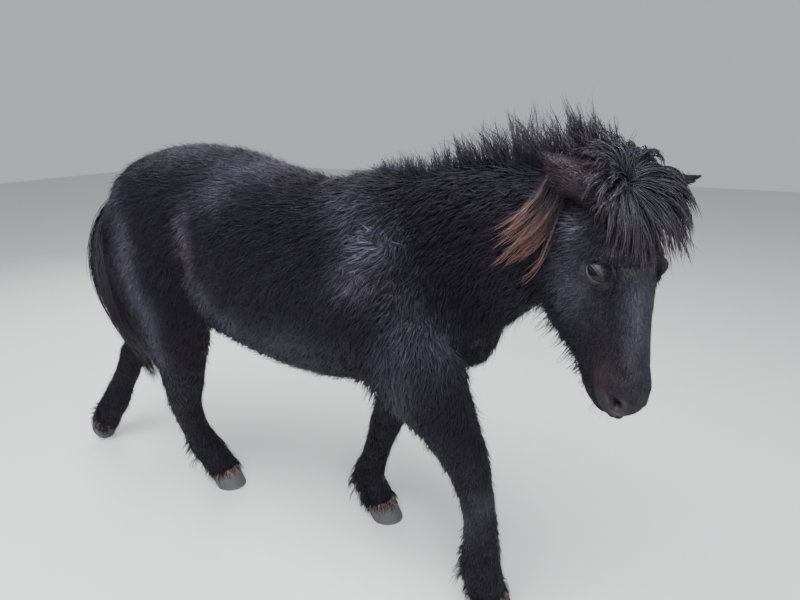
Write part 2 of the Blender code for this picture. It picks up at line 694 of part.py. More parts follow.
def hang(start, first, last, length, count):
    """Points along a lock that leaves start one way and ends another, as hair does that falls."""
    t = np.linspace(0, 1, count)[:, None]
    first, last = (np.array(Vector(v).normalized()) for v in (first, last))
    return np.array(start) + length * (first * (t - t * t / 2) + last * t * t / 2)


def draped(path, tree, lift):
    """The path moved out of the flesh, so that each point but the first lies at least lift above it."""
    moved = [path[0]]
    for k, point in enumerate(path[1:], 1):
        place, normal, _, _ = tree.find_nearest(Vector(point))
        rise = lift * (0.5 + 0.5 * k / (len(path) - 1))
        short = rise - (Vector(point) - place).dot(normal)
        moved.append(np.array(Vector(point) + normal * max(short, 0)))
    return np.array(moved)


def lock(path, normal, width, thick):
    """A flat lock along a path: diamond rings that swell from the root, then run to a point."""
    along = unit(np.gradient(path, axis=0))
    side = unit(np.cross(along, np.asarray(normal, float)))
    face = np.cross(side, along)
    count = len(path) - 1
    t = np.arange(count) / count
    swell = (0.5 + 3.0 * t) * (1 - t) ** 1.1
    across = side[:-1] * (width / 2 * swell)[:, None]
    through = face[:-1] * (thick / 2 * swell)[:, None]
    rings = np.stack([path[:-1] + across, path[:-1] + through, path[:-1] - across, path[:-1] - through], 1)
    points = [Vector(p) for p in rings.reshape(-1, 3)] + [Vector(path[-1])]
    faces = [(3, 2, 1), (3, 1, 0)]
    for r in range(count - 1):
        for k in range(4):
            a, b = 4 * r + k, 4 * r + (k + 1) % 4
            c, d = b + 4, a + 4
            faces += [(a, b, c), (a, c, d)] if k % 2 == 0 else [(a, b, d), (b, c, d)]
    tip = 4 * count
    faces += [(tip - 4 + k, tip - 4 + (k + 1) % 4, tip) for k in range(4)]
    return mesh_object("lock", points, faces)


def rooted(tree, point, towards, sink):
    """The place where a ray from point meets the flesh, sunk in a little, and the normal there."""
    place, normal, _, _ = tree.ray_cast(Vector(point), Vector(towards).normalized())
    if place is None:
        return None, None
    return place - normal * sink, normal


def mane(neck, draw):
    """Short upright fluff at the withers that lengthens into long locks at the poll. Every third
    lock falls to the left side of the neck."""
    tree = tree_of(neck)
    crest = smooth_rows(CREST, MANE_LOCKS)
    made = []
    for k, (x, y, length) in enumerate(crest):
        aside = (0.012, -0.016, 0.000)[k % 3] + draw.uniform(-0.003, 0.003)
        root, _ = rooted(tree, (x, y + aside, 1.8), (0, 0, -1), 0.014)
        if root is None:
            continue
        length *= draw.uniform(0.85, 1.15)
        back = draw.uniform(0.2, 0.8)
        if k % 3 == 0:
            path = hang(root, (-0.2, 0.7, 1.0), (-0.3, 0.5, -1.0), length * 1.7, 5)
            path = draped(path, tree, 0.014)
            made.append(lock(path, (0.1, 1, 0.3), MANE_WIDTH, LOCK_THICK))
        else:
            path = hang(root, (0.15, aside * 14, 1.0), (-0.5 - back, aside * 24, 0.42), length * 1.15, 4)
            made.append(lock(path, (0.25, 1, 0), MANE_WIDTH, LOCK_THICK))
    return made


def side_lock(neck, draw):
    """The long tress behind the right ear, which falls back along the neck."""
    tree = tree_of(neck)
    made = []
    for k in range(SIDE_LOCKS):
        share = k / (SIDE_LOCKS - 1)
        start = Vector(TRESS_ROOT).lerp(Vector(TRESS_ROOT_LOW), share)
        start += Vector((0, draw.uniform(-0.008, 0.008), 0))
        tip = Vector(TRESS_TIP).lerp(Vector(TRESS_TIP_LOW), share) + Vector(draw.uniform(-0.012, 0.012, 3))
        place, normal, _, _ = tree.find_nearest(start)
        root = place - normal * 0.012
        first = (tip - root).normalized() + normal * 0.5 + Vector((0, 0, 0.25))
        second = (tip - root).normalized() - Vector((0.25, 0, 0.25))
        path = draped(hang(root, first, second, (tip - root).length * 1.06, 6), tree, 0.012)
        made.append(lock(path, normal, 0.020, LOCK_THICK))
    return made


def past_ears(path):
    """The path bent clear of both ears."""
    moved = [path[0]]
    for point in path[1:]:
        for side in EAR_LIE:
            root, axis = ear_axis(side)
            share = min(max((Vector(point) - root).dot(axis) / EAR_LENGTH, 0), 1)
            nearest = root + axis * share * EAR_LENGTH
            away = Vector(point) - nearest
            room = EAR_WIDTH * (1.15 - 0.7 * share) + 0.016
            if away.length < room:
                point = np.array(nearest + away.normalized() * room)
        moved.append(np.array(point))
    return np.array(moved)


def forelock(head, draw):
    """Locks that start close together on the poll and fall all round it: down the forehead, over
    both ears and, at the back, up in spikes."""
    tree = tree_of(head)
    down, forward, left = head_axes()
    made = []
    for k in range(FORELOCK_LOCKS):
        turn = math.radians(-95 + 200 * (k + draw.uniform(0.1, 0.9)) / FORELOCK_LOCKS)
        way = down * math.cos(turn) + left * math.sin(turn)
        start = head_point(0.0, 0, 0) + way * draw.uniform(0.02, 0.070)
        root, normal = rooted(tree, start + forward * 0.3, -forward, 0.014)
        if root is None:
            continue
        length = FORELOCK_LENGTH * (1 - 0.40 * math.sin(turn) ** 2) * draw.uniform(0.82, 1.08)
        last = way * 0.45 + Vector((0, 0, -1)) + forward * 0.12
        path = hang(root, way + normal * draw.uniform(0.5, 0.9), last, length, 5)
        path = past_ears(draped(path, tree, draw.uniform(0.010, 0.030)))
        made.append(lock(path, normal, FORELOCK_WIDTH, LOCK_THICK))
    for k in range(SPIKES):
        side = 0.15 * ((k + 0.5) / SPIKES - 0.5)
        share = -0.04 + 0.03 * (-1) ** k
        root, normal = rooted(tree, head_point(share, 0, side) + Vector((0, 0, 0.4)), (0, 0, -1), 0.014)
        if root is None:
            continue
        lean = left * side * 4 - forward * draw.uniform(0.2, 1.0)
        first, last = lean * 0.3 + Vector((0, 0, 1)), lean + Vector((0, 0, 0.6))
        path = hang(root, first, last, draw.uniform(0.10, 0.14), 4)
        made.append(lock(path, forward, FORELOCK_WIDTH * 0.8, LOCK_THICK))
    return made


def beard(head, draw):
    """Short locks that hang along both edges of the jaw."""
    tree = tree_of(head)
    down, forward, left = head_axes()
    made = []
    for k in range(BEARD_LOCKS):
        share = 0.26 + 0.44 * (k + draw.uniform(0.1, 0.9)) / BEARD_LOCKS
        side = (-1) ** k * (0.084 - 0.055 * share) * draw.uniform(0.75, 1)
        root, normal = rooted(tree, head_point(share, -0.4, side), forward, 0.012)
        if root is None:
            continue
        last = down * 0.8 - forward * 0.7 + left * side * 6
        path = hang(root, normal + down * 0.3, last, draw.uniform(0.055, 0.075), 4)
        made.append(lock(path, left, 0.016, LOCK_THICK * 0.9))
    return made


def tail_locks(draw):
    """Long locks in three tiers, rooted round the dock, that follow the tail down to its tip."""
    rows = smooth_rows(TAIL, 60)
    made = []
    for first, last, count in TAIL_TIERS:
        for k in range(count):
            turn = 2 * math.pi * (k + draw.uniform(-0.25, 0.25)) / count
            start = first + draw.uniform(-0.03, 0.03)
            picks = np.linspace(start, last + draw.uniform(-0.06, 0.02), 6) * (len(rows) - 1)
            centres = np.array([rows[int(round(p))] for p in np.clip(picks, 0, len(rows) - 1)])
            spread = np.array([math.cos(turn), math.sin(turn), 0.25])
            reach = np.array([0.15, 0.80, 0.92, 0.86, 0.70, 0.45])[:, None] * centres[:, 3:4]
            path = centres[:, :3] + spread * reach * draw.uniform(0.85, 1.1)
            made.append(lock(path, spread, TAIL_WIDTH, LOCK_THICK * 1.3))
    return made


def feather(leg, stations, draw):
    """Locks behind the fetlock that point down and back."""
    tree = tree_of(leg)
    made = []
    for k in range(FEATHER_LOCKS):
        x, y, z = stations[0].lerp(stations[1], (k + 0.5) / FEATHER_LOCKS)
        turn = draw.uniform(-1.1, 1.1)
        out = Vector((-math.cos(turn), math.sin(turn), 0))
        root, normal = rooted(tree, Vector((x, y, z)) + out * 0.3, -out, 0.010)
        if root is None:
            continue
        first, last = out + Vector((0, 0, -0.7)), out * 0.15 + Vector((0, 0, -1))
        path = hang(root, first, last, draw.uniform(0.045, 0.065), 4)
        made.append(lock(path, out, 0.020, LOCK_THICK))
    return made


def coat_locks(node, rows, draw):
    """Locks of long coat. Each row has a start, an end, the way to the flesh, the lie, the length
    of a lock and their count."""
    tree = tree_of(node)
    made = []
    for start, end, towards, lie, length, count in rows:
        for k in range(count):
            point = Vector(start).lerp(Vector(end), (k + draw.uniform(0.15, 0.85)) / count)
            point += Vector(draw.uniform(-0.02, 0.02, 3)) - Vector(towards).normalized() * 0.5
            root, normal = rooted(tree, point, towards, 0.012)
            if root is None:
                continue
            way = Vector(lie) + Vector(draw.uniform(-0.2, 0.2, 3))
            flat = way - normal * way.dot(normal)
            path = hang(root, flat + normal * 0.28, flat - normal * 0.2, length * draw.uniform(0.8, 1.2), 4)
            made.append(lock(draped(path, tree, 0.005), normal, COAT_WIDTH, LOCK_THICK))
    return made


def rest_on_origin():
    """Moves every node alike, so that the middle of the model stands on the origin."""
    nodes = [obj for obj in bpy.data.objects if not obj.hide_render]
    points = np.array([v.co for obj in nodes for v in obj.data.vertices])
    low, high = points.min(axis=0), points.max(axis=0)
    shift = Vector((-(low[0] + high[0]) / 2, -(low[1] + high[1]) / 2, -low[2]))
    for obj in nodes:
        obj.data.transform(Matrix.Translation(shift))
        obj.data.shade_smooth()
        obj.data.set_sharp_from_angle(angle=math.radians(45))
    return shift


def build():
    clear_scene()
    coat = material("black_winter_coat", (0.022, 0.020, 0.028), 0.75)
    skin = material("ear_skin", (0.045, 0.035, 0.038), 0.6)
    horn = material("hoof_horn", (0.20, 0.17, 0.15), 0.55)
    wet = material("eye", (0.01, 0.008, 0.008), 0.1)
    body = fused(
        "body",
        [
            trunk_loft(),
            limb_loft(NECK, (0, 0, 1), 30, 28),
            limb_loft(FORE_RIGHT, (1, 0, 0), 40, 20),
            limb_loft(FORE_LEFT, (1, 0, 0), 40, 20),
            limb_loft(HIND_RIGHT, (1, 0, 0), 44, 20),
            limb_loft(HIND_LEFT, (1, 0, 0), 44, 20),
        ],
        0.012,
        2600,
    )
    nodes = parted(body, coat)
    draw = np.random.default_rng(SEED)
    ears, rooms = zip(*(ear(side, skin) for side in ("right", "left")))
    head = make_head(coat, rooms, draw)
    for side, sign in (("left", 1), ("right", -1)):
        ball("eye_" + side, eye_centre(sign), EYE_RADIUS, wet)
    torso = joined(nodes["torso"], coat_locks(nodes["torso"], TORSO_COAT, draw))
    torso = cleared(torso, [nodes[n] for n in PARTS if n != "torso"])
    neck = joined(nodes["neck"], mane(nodes["neck"], draw) + side_lock(nodes["neck"], draw))
    cleared(neck, [head, torso, *ears])
    dock = [(*row[:3], *(size * 0.55 for size in row[3:])) for row in TAIL[:5]]
    core = mesh_object("tail", *limb_loft(dock, (-1, 0, 0), 10, 10), coat)
    hooves = [hoof("hoof_" + name, *sizes, horn) for name, sizes in HOOVES.items()] + [lifted_hoof(horn)]
    for name in ("foreleg_right", "foreleg_left", "hindleg_right", "hindleg_left"):
        leg = joined(nodes[name], feather(nodes[name], [Vector(p) for p in FETLOCKS[name]], draw))
        nodes[name] = cleared(leg, hooves)
    tail = joined(core, tail_locks(draw))
    cleared(tail, [torso, nodes["hindleg_left"], nodes["hindleg_right"]])
    return rest_on_origin()


SHIFT = build()
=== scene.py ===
# %% [markdown]
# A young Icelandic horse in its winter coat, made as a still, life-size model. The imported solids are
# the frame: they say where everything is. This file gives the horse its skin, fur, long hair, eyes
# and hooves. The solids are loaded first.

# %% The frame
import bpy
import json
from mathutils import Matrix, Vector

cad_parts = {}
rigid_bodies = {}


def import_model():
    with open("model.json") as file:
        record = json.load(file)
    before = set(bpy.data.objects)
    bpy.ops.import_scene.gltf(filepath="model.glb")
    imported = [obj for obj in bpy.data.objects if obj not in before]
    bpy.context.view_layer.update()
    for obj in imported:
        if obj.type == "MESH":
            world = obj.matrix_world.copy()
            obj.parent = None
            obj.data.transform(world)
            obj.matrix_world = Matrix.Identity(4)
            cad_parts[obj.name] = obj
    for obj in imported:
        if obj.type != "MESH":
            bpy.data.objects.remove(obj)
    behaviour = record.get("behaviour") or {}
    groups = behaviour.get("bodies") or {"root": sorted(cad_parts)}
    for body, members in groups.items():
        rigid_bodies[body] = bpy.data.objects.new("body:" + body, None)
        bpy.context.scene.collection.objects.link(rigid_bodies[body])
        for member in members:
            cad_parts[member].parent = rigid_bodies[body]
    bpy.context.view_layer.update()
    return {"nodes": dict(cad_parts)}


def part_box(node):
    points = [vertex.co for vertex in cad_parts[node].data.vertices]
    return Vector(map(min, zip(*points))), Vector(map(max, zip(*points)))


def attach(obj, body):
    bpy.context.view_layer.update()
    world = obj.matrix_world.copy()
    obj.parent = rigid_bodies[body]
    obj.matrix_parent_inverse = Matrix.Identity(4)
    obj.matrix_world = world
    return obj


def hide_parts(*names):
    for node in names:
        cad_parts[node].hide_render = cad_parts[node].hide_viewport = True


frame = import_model()

import json
import math

import bpy
import numpy as np
from mathutils import Vector
from mathutils.bvhtree import BVHTree

DRAW = np.random.default_rng(11)
print("frame:", len(frame["nodes"]), "nodes")

# %% [markdown]
# The body is lofted from rings of named sizes, the same ones that the solids use. A horse's outline
# is easiest to read off station by station: how high the back is, how deep the belly, how wide the
# ribs. Rows of such stations are short, and a smooth curve through them gives the stretches between.

# %% Trunk and neck sizes
TRUNK = [  # x, top, bottom, half width
    (-0.640, 1.10, 0.97, 0.05),
    (-0.605, 1.185, 0.87, 0.140),
    (-0.510, 1.262, 0.79, 0.200),
    (-0.400, 1.325, 0.76, 0.235),
    (-0.270, 1.355, 0.735, 0.248),
    (-0.130, 1.345, 0.725, 0.250),
    (0.000, 1.312, 0.690, 0.255),
    (0.150, 1.278, 0.655, 0.258),
    (0.280, 1.262, 0.640, 0.250),
    (0.380, 1.280, 0.645, 0.238),
    (0.480, 1.300, 0.655, 0.220),
    (0.580, 1.285, 0.665, 0.195),
    (0.680, 1.210, 0.668, 0.176),
    (0.745, 1.090, 0.690, 0.160),
    (0.783, 1.000, 0.732, 0.125),
    (0.804, 0.930, 0.790, 0.068),
]
NECK = [  # x, y, z, half width, reach to the crest, reach to the throat
    (0.420, 0.000, 1.050, 0.170, 0.200, 0.250),
    (0.600, -0.010, 1.090, 0.160, 0.200, 0.310),
    (0.740, -0.050, 1.130, 0.140, 0.190, 0.280),
    (0.860, -0.105, 1.165, 0.122, 0.175, 0.212),
    (0.960, -0.165, 1.200, 0.108, 0.150, 0.155),
    (1.035, -0.215, 1.222, 0.098, 0.125, 0.132),
    (1.090, -0.250, 1.230, 0.080, 0.095, 0.110),
]

# %% Leg sizes
LEGS = {  # x, y, z, half width, reach forward, reach back
    "foreleg_right": [
        (0.500, -0.130, 1.020, 0.080, 0.130, 0.130),
        (0.560, -0.165, 0.880, 0.095, 0.140, 0.150),
        (0.640, -0.172, 0.760, 0.090, 0.135, 0.135),
        (0.705, -0.163, 0.670, 0.080, 0.108, 0.105),
        (0.748, -0.154, 0.590, 0.070, 0.088, 0.086),
        (0.780, -0.145, 0.520, 0.064, 0.078, 0.074),
        (0.802, -0.138, 0.450, 0.058, 0.062, 0.058),
        (0.815, -0.128, 0.370, 0.053, 0.056, 0.053),
        (0.824, -0.121, 0.290, 0.052, 0.058, 0.055),
        (0.828, -0.115, 0.210, 0.054, 0.060, 0.060),
        (0.830, -0.110, 0.150, 0.057, 0.062, 0.068),
        (0.842, -0.107, 0.100, 0.056, 0.060, 0.062),
        (0.852, -0.105, 0.040, 0.056, 0.060, 0.055),
    ],
    "foreleg_left": [
        (0.500, 0.130, 1.020, 0.080, 0.130, 0.130),
        (0.490, 0.165, 0.880, 0.095, 0.140, 0.140),
        (0.470, 0.175, 0.740, 0.090, 0.120, 0.120),
        (0.440, 0.168, 0.620, 0.078, 0.095, 0.100),
        (0.408, 0.158, 0.500, 0.066, 0.078, 0.080),
        (0.370, 0.153, 0.400, 0.060, 0.064, 0.064),
        (0.335, 0.150, 0.290, 0.053, 0.054, 0.054),
        (0.308, 0.150, 0.200, 0.052, 0.054, 0.056),
        (0.296, 0.149, 0.145, 0.056, 0.060, 0.066),
        (0.314, 0.149, 0.100, 0.056, 0.060, 0.060),
        (0.344, 0.148, 0.040, 0.056, 0.060, 0.055),
    ],
    "hindleg_right": [
        (-0.360, -0.120, 1.100, 0.100, 0.200, 0.180),
        (-0.340, -0.160, 0.950, 0.105, 0.205, 0.185),
        (-0.315, -0.162, 0.820, 0.100, 0.210, 0.180),
        (-0.302, -0.152, 0.700, 0.085, 0.150, 0.138),
        (-0.312, -0.130, 0.580, 0.072, 0.102, 0.098),
        (-0.336, -0.105, 0.490, 0.062, 0.082, 0.084),
        (-0.358, -0.085, 0.415, 0.056, 0.068, 0.072),
        (-0.369, -0.058, 0.330, 0.051, 0.060, 0.062),
        (-0.372, -0.028, 0.250, 0.050, 0.060, 0.062),
        (-0.366, 0.002, 0.180, 0.056, 0.066, 0.074),
        (-0.354, 0.022, 0.130, 0.057, 0.064, 0.072),
        (-0.336, 0.038, 0.080, 0.057, 0.060, 0.062),
        (-0.324, 0.042, 0.040, 0.057, 0.060, 0.058),
    ],
    "hindleg_left": [
        (-0.380, 0.120, 1.100, 0.100, 0.200, 0.180),
        (-0.400, 0.160, 0.950, 0.105, 0.200, 0.150),
        (-0.450, 0.160, 0.820, 0.098, 0.190, 0.110),
        (-0.540, 0.152, 0.700, 0.085, 0.140, 0.088),
        (-0.660, 0.140, 0.600, 0.070, 0.100, 0.090),
        (-0.780, 0.125, 0.520, 0.060, 0.080, 0.075),
        (-0.855, 0.115, 0.450, 0.056, 0.066, 0.066),
        (-0.905, 0.105, 0.360, 0.052, 0.058, 0.056),
        (-0.952, 0.096, 0.275, 0.052, 0.058, 0.058),
        (-0.990, 0.086, 0.205, 0.057, 0.064, 0.064),
        (-1.020, 0.076, 0.155, 0.056, 0.062, 0.062),
        (-1.048, 0.068, 0.108, 0.056, 0.058, 0.058),
        (-1.074, 0.062, 0.062, 0.054, 0.056, 0.056),
    ],
}

# %% Head, ear and tail sizes
POLL = np.array((1.13, -0.28, 1.345))
HEAD_LENGTH = 0.49
HEAD_YAW, HEAD_DROP = math.radians(-39), math.radians(80)
HEAD = [  # share of the length, half width, reach to the front, reach to the back, egg shape
    (-0.10, 0.030, -0.020, 0.070, 0.00),
    (-0.05, 0.062, 0.012, 0.120, 0.00),
    (0.03, 0.080, 0.030, 0.160, 0.10),
    (0.12, 0.088, 0.042, 0.190, 0.10),
    (0.22, 0.096, 0.054, 0.220, 0.15),
    (0.32, 0.101, 0.059, 0.240, 0.10),
    (0.42, 0.097, 0.056, 0.232, 0.00),
    (0.52, 0.086, 0.058, 0.206, -0.10),
    (0.62, 0.072, 0.055, 0.176, -0.15),
    (0.72, 0.061, 0.050, 0.146, -0.10),
    (0.80, 0.056, 0.044, 0.126, 0.00),
    (0.88, 0.056, 0.040, 0.114, 0.05),
    (0.95, 0.050, 0.026, 0.096, 0.00),
    (1.00, 0.036, 0.008, 0.080, 0.00),
    (1.025, 0.016, -0.016, 0.058, 0.00),
]
TAIL = [  # x, y, z, half width, reach back, reach forward
    (-0.560, 0.000, 1.170, 0.045, 0.035, 0.035),
    (-0.640, 0.000, 1.140, 0.048, 0.040, 0.035),
    (-0.760, 0.015, 1.040, 0.058, 0.045, 0.040),
    (-0.875, 0.060, 0.890, 0.068, 0.050, 0.050),
    (-0.965, 0.125, 0.720, 0.070, 0.048, 0.048),
    (-0.975, 0.180, 0.540, 0.058, 0.040, 0.040),
    (-0.930, 0.210, 0.390, 0.040, 0.028, 0.028),
    (-0.880, 0.215, 0.270, 0.012, 0.010, 0.010),
]
EYE_RADIUS = 0.0215
EYE_SHARE, EYE_OUT, EYE_SIDE = 0.402, 0.001, 0.0735
EAR_LENGTH, EAR_WIDTH, EAR_WALL = 0.134, 0.037, 0.005
EAR_SIDE, EAR_SHARE, EAR_OUT = 0.068, 0.080, -0.006
EAR_LIE = {"right": (0.54, 0.66, 0.52), "left": (0.99, -0.04, 0.12)}  # outward, backward, upward
EAR_OPENING = {"right": (-0.55, -0.72, -0.30), "left": (0.55, 0.60, -0.75)}  # outward, forward, upward
HOOF_LENGTH, HOOF_WIDTH, TOE_HEIGHT, HEEL_HEIGHT, CORONET_HEIGHT = 0.125, 0.112, 0.078, 0.050, 0.066
HOOVES = {  # middle of the sole, way the toe points in degrees, middle of the coronet
    "fore_right": ((0.882, -0.106, 0.0), -4, (0.847, -0.105, 0.066)),
    "fore_left": ((0.369, 0.147, 0.0), 0, (0.333, 0.148, 0.066)),
    "hind_right": ((-0.296, 0.043, 0.0), 2, (-0.331, 0.041, 0.066)),
}
LIFTED_CORONET, LIFTED_TURN, TOE_LEAN = (-1.048, 0.067, 0.113), math.radians(60), 0.036

# %% [markdown]
# A Catmull-Rom curve passes through every station, so the sizes in the tables stay true. The loft
# puts a rounded ring square to the path at each step. Every surface here is an array of points in
# rows, so one formula makes the whole of it.

# %% Curves, rings and directions


def unit(v):
    """Each vector divided by its own length."""
    return v / np.maximum(np.linalg.norm(v, axis=-1, keepdims=True), 1e-12)


def smooth_rows(rows, count=None, place=None):
    """Station rows carried through a Catmull-Rom curve, read at even steps or at the given places."""
    rows = np.array(rows, float)
    ends = np.vstack([2 * rows[0] - rows[1], rows, 2 * rows[-1] - rows[-2]])
    place = np.linspace(0, len(rows) - 1, count) if place is None else place
    left = np.clip(place.astype(int), 0, len(rows) - 2)
    t = (place - left)[:, None]
    p0, p1, p2, p3 = (ends[left + k] for k in range(4))
    curve = 2 * p1 + (p2 - p0) * t + (2 * p0 - 5 * p1 + 4 * p2 - p3) * t**2
    return (curve + (3 * p1 - p0 - 3 * p2 + p3) * t**3) / 2


def frames(centres, front):
    """Unit vectors along a path, ahead (front made square to the path) and to the side."""
    along = unit(np.gradient(centres, axis=0))
    front = np.asarray(front, float)
    ahead = unit(front - along * (along @ front)[:, None])
    return along, ahead, np.cross(along, ahead)


def rings(rows, front, turns, inset, power=2.2):
    """Rings of a tube. Each row is a centre, half width, reach ahead, reach back and egg shape, and
    a ring is the curve |cos|^(2/power), |sin|^(2/power) of the turns, drawn in by the inset."""
    _, ahead, side = frames(rows[:, :3], front)
    c = np.sign(np.cos(turns)) * np.abs(np.cos(turns)) ** (2 / power)
    s = np.sign(np.sin(turns)) * np.abs(np.sin(turns)) ** (2 / power)
    inset = np.broadcast_to(inset, len(rows))[:, None]
    across = (rows[:, 3:4] - inset) * s * (1 + rows[:, 6:7] * c)
    reach = np.where(c > 0, rows[:, 4:5] - inset, rows[:, 5:6] - inset) * c
    return rows[:, None, :3] + side[:, None] * across[..., None] + ahead[:, None] * reach[..., None]


# %% [markdown]
# The head hangs from the poll and is turned to the horse's right, so it has its own axes: down the
# face, out of the forehead and to its left. Eyes, nostrils and lips are placed along these. The
# solids stand centred on the origin, and the eye's solid says how far that is from the tables.

# %% Head axes and the place of the model


def head_axes():
    """Unit vectors down the face, out of the forehead and to the head's left."""
    level = np.array((math.cos(HEAD_YAW), math.sin(HEAD_YAW), 0.0))
    up = np.array((0.0, 0.0, 1.0))
    down = level * math.cos(HEAD_DROP) - up * math.sin(HEAD_DROP)
    out = level * math.sin(HEAD_DROP) + up * math.cos(HEAD_DROP)
    return down, out, np.array((-math.sin(HEAD_YAW), math.cos(HEAD_YAW), 0.0))


DOWN, OUT, LEFT = head_axes()
LEVEL = np.array((math.cos(HEAD_YAW), math.sin(HEAD_YAW), 0.0))
UP = np.array((0.0, 0.0, 1.0))


def head_point(share, out, left=0.0):
    """A point of the head: this share of its length below the poll, then out and to the left."""
    return POLL + DOWN * share * HEAD_LENGTH + OUT * out + LEFT * left


def head_places(points):
    """Points as share of the head's length below the poll, metres out, and metres to the left."""
    offset = points - POLL
    return np.stack([offset @ DOWN / HEAD_LENGTH, offset @ OUT, offset @ LEFT], -1)


def eye_centre(sign):
    return head_point(EYE_SHARE, EYE_OUT, sign * EYE_SIDE)


eye_box = np.array([list(corner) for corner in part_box("eye_right")])
SHIFT = eye_box.mean(axis=0) - eye_centre(-1)
print("tables to frame:", SHIFT.round(4))

# %% [markdown]
# The camera stands where the photographer stood: just in front of the right shoulder, at the height
# of the eyes, with a wide lens that looks down a little. The floor is plain and pale, and big soft
# lights stand in for the bright, hazy sky: the strongest from above, a cool one from the horse's
# right and a weak one from behind on its left.

# %% Camera, floor and lights
CAMERA_PLACE, CAMERA_PITCH, CAMERA_TURN = (1.28, -1.53, 1.45), math.radians(72.5), math.radians(27)


def add_camera():
    data = bpy.data.cameras.new("camera")
    data.lens, data.sensor_width = 27.0, 36.0
    data.clip_start = 0.05
    camera = bpy.data.objects.new("camera", data)
    camera.location = Vector(np.array(CAMERA_PLACE) + SHIFT)
    camera.rotation_euler = (CAMERA_PITCH, 0, CAMERA_TURN)
    bpy.context.scene.collection.objects.link(camera)
    bpy.context.scene.camera = camera


def add_light(name, place, aim, size, power, colour):
    data = bpy.data.lights.new(name, "AREA")
    data.shape, data.size, data.energy, data.color = "DISK", size, power, colour
    light = bpy.data.objects.new(name, data)
    light.location = place
    light.rotation_euler = (Vector(aim) - Vector(place)).to_track_quat("-Z", "Y").to_euler()
    bpy.context.scene.collection.objects.link(light)


add_camera()
add_light("sky", (0.3, -1.4, 4.2), (0, 0, 0.9), 3.2, 420, (0.93, 0.96, 1.0))
add_light("right_side", (3.2, -3.4, 2.6), (0.3, 0, 0.8), 2.4, 190, (0.90, 0.95, 1.0))
add_light("rim", (-3.0, 2.2, 3.0), (-0.2, 0, 1.0), 2.2, 110, (0.95, 0.95, 1.0))
world = bpy.data.worlds.new("room")
world.use_nodes = True
world.node_tree.nodes["Background"].inputs["Color"].default_value = (0.80, 0.83, 0.88, 1)
world.node_tree.nodes["Background"].inputs["Strength"].default_value = 0.62
bpy.context.scene.world = world
print("camera at", [round(v, 3) for v in bpy.context.scene.camera.location])

# %% [markdown]
# Materials are sums of patterns. A small class wraps a socket, so that shader maths reads as plain
# arithmetic, and one method makes every other node: first its settings, then what feeds it.

# %% Shader maths


class Number:
    """A socket that holds a number. Each operator adds the Math node that works it out."""

    def __init__(self, finish, socket):
        self.finish, self.socket = finish, socket

    def math(self, operation, *values, swap=False):
        values = (values[0], self) if swap else (self, *values)
        made = self.finish.node("Math", {"operation": operation}, dict(enumerate(values)))
        return Number(self.finish, made.outputs[0])

    def __add__(self, other):
        return self.math("ADD", other)

    def __mul__(self, other):
        return self.math("MULTIPLY", other)

    def __sub__(self, other):
        return self.math("SUBTRACT", other)

    def __rsub__(self, other):
        return self.math("SUBTRACT", other, swap=True)

    def __pow__(self, other):
        return self.math("POWER", other)

    __radd__, __rmul__ = __add__, __mul__

    def sine(self):
        return self.math("SINE")

    def within(self, low, high):
        """0 at low, 1 at high, with a soft step between."""
        sockets = {"Value": self, "From Min": low, "From Max": high}
        made = self.finish.node("MapRange", {"interpolation_type": "SMOOTHSTEP"}, sockets)
        return Number(self.finish, made.outputs["Result"])


class Finish:
    """A material under construction."""

    def __init__(self, name):
        self.material = bpy.data.materials.new(name)
        self.material.use_nodes = True
        self.tree = self.material.node_tree
        self.tree.nodes.clear()

    def node(self, kind, settings=None, sockets=None):
        """A node of this kind. Settings come first, because they change which sockets it has."""
        made = self.tree.nodes.new("ShaderNode" + kind)
        for key, value in (settings or {}).items():
            setattr(made, key, value)
        for key, value in (sockets or {}).items():
            value = value.socket if isinstance(value, Number) else value
            if isinstance(value, bpy.types.NodeSocket):
                self.tree.links.new(value, made.inputs[key])
            else:
                made.inputs[key].default_value = value
        return made

    def place(self):
        return self.node("TexCoord").outputs["Object"]

    def attribute(self, name):
        """The three numbers that a mesh carries under this name."""
        found = self.node("Attribute", {"attribute_name": name}).outputs["Vector"]
        parts = self.node("SeparateXYZ", None, {0: found})
        return [Number(self, parts.outputs[k]) for k in range(3)]

    def noise(self, scale, detail=3.0, vector=None):
        sockets = {"Vector": vector or self.place(), "Scale": scale, "Detail": detail}
        return Number(self, self.node("TexNoise", None, sockets).outputs["Fac"])

    def mix(self, share, first, second):
        """One colour or socket turning into another."""
        colours = {6: first, 7: second}
        colours = {k: (*c, 1.0) if isinstance(c, tuple) and len(c) == 3 else c for k, c in colours.items()}
        return self.node("Mix", {"data_type": "RGBA"}, {0: share, **colours}).outputs[2]

    def bump(self, height, distance, strength):
        sockets = {"Height": height, "Distance": distance, "Strength": strength}
        return self.node("Bump", None, sockets).outputs["Normal"]

    def done(self, **sockets):
        """Ends the material in a Principled shader with these sockets."""
        names = {key: key.replace("_", " ") for key in sockets}
        names.update(Coat_IOR="Coat IOR", Specular_IOR_Level="Specular IOR Level", IOR="IOR")
        shader = self.node("BsdfPrincipled", None, {names[k]: v for k, v in sockets.items()})
        end = self.node("OutputMaterial")
        self.tree.links.new(shader.outputs[0], end.inputs[0])
        return self.material


def floor_finish():
    """Matt, pale and even, with the faintest mottling."""
    finish = Finish("pale_floor")
    colour = finish.mix(finish.noise(3.0), (0.66, 0.65, 0.63), (0.70, 0.69, 0.67))
    return finish.done(Base_Color=colour, Roughness=0.9)


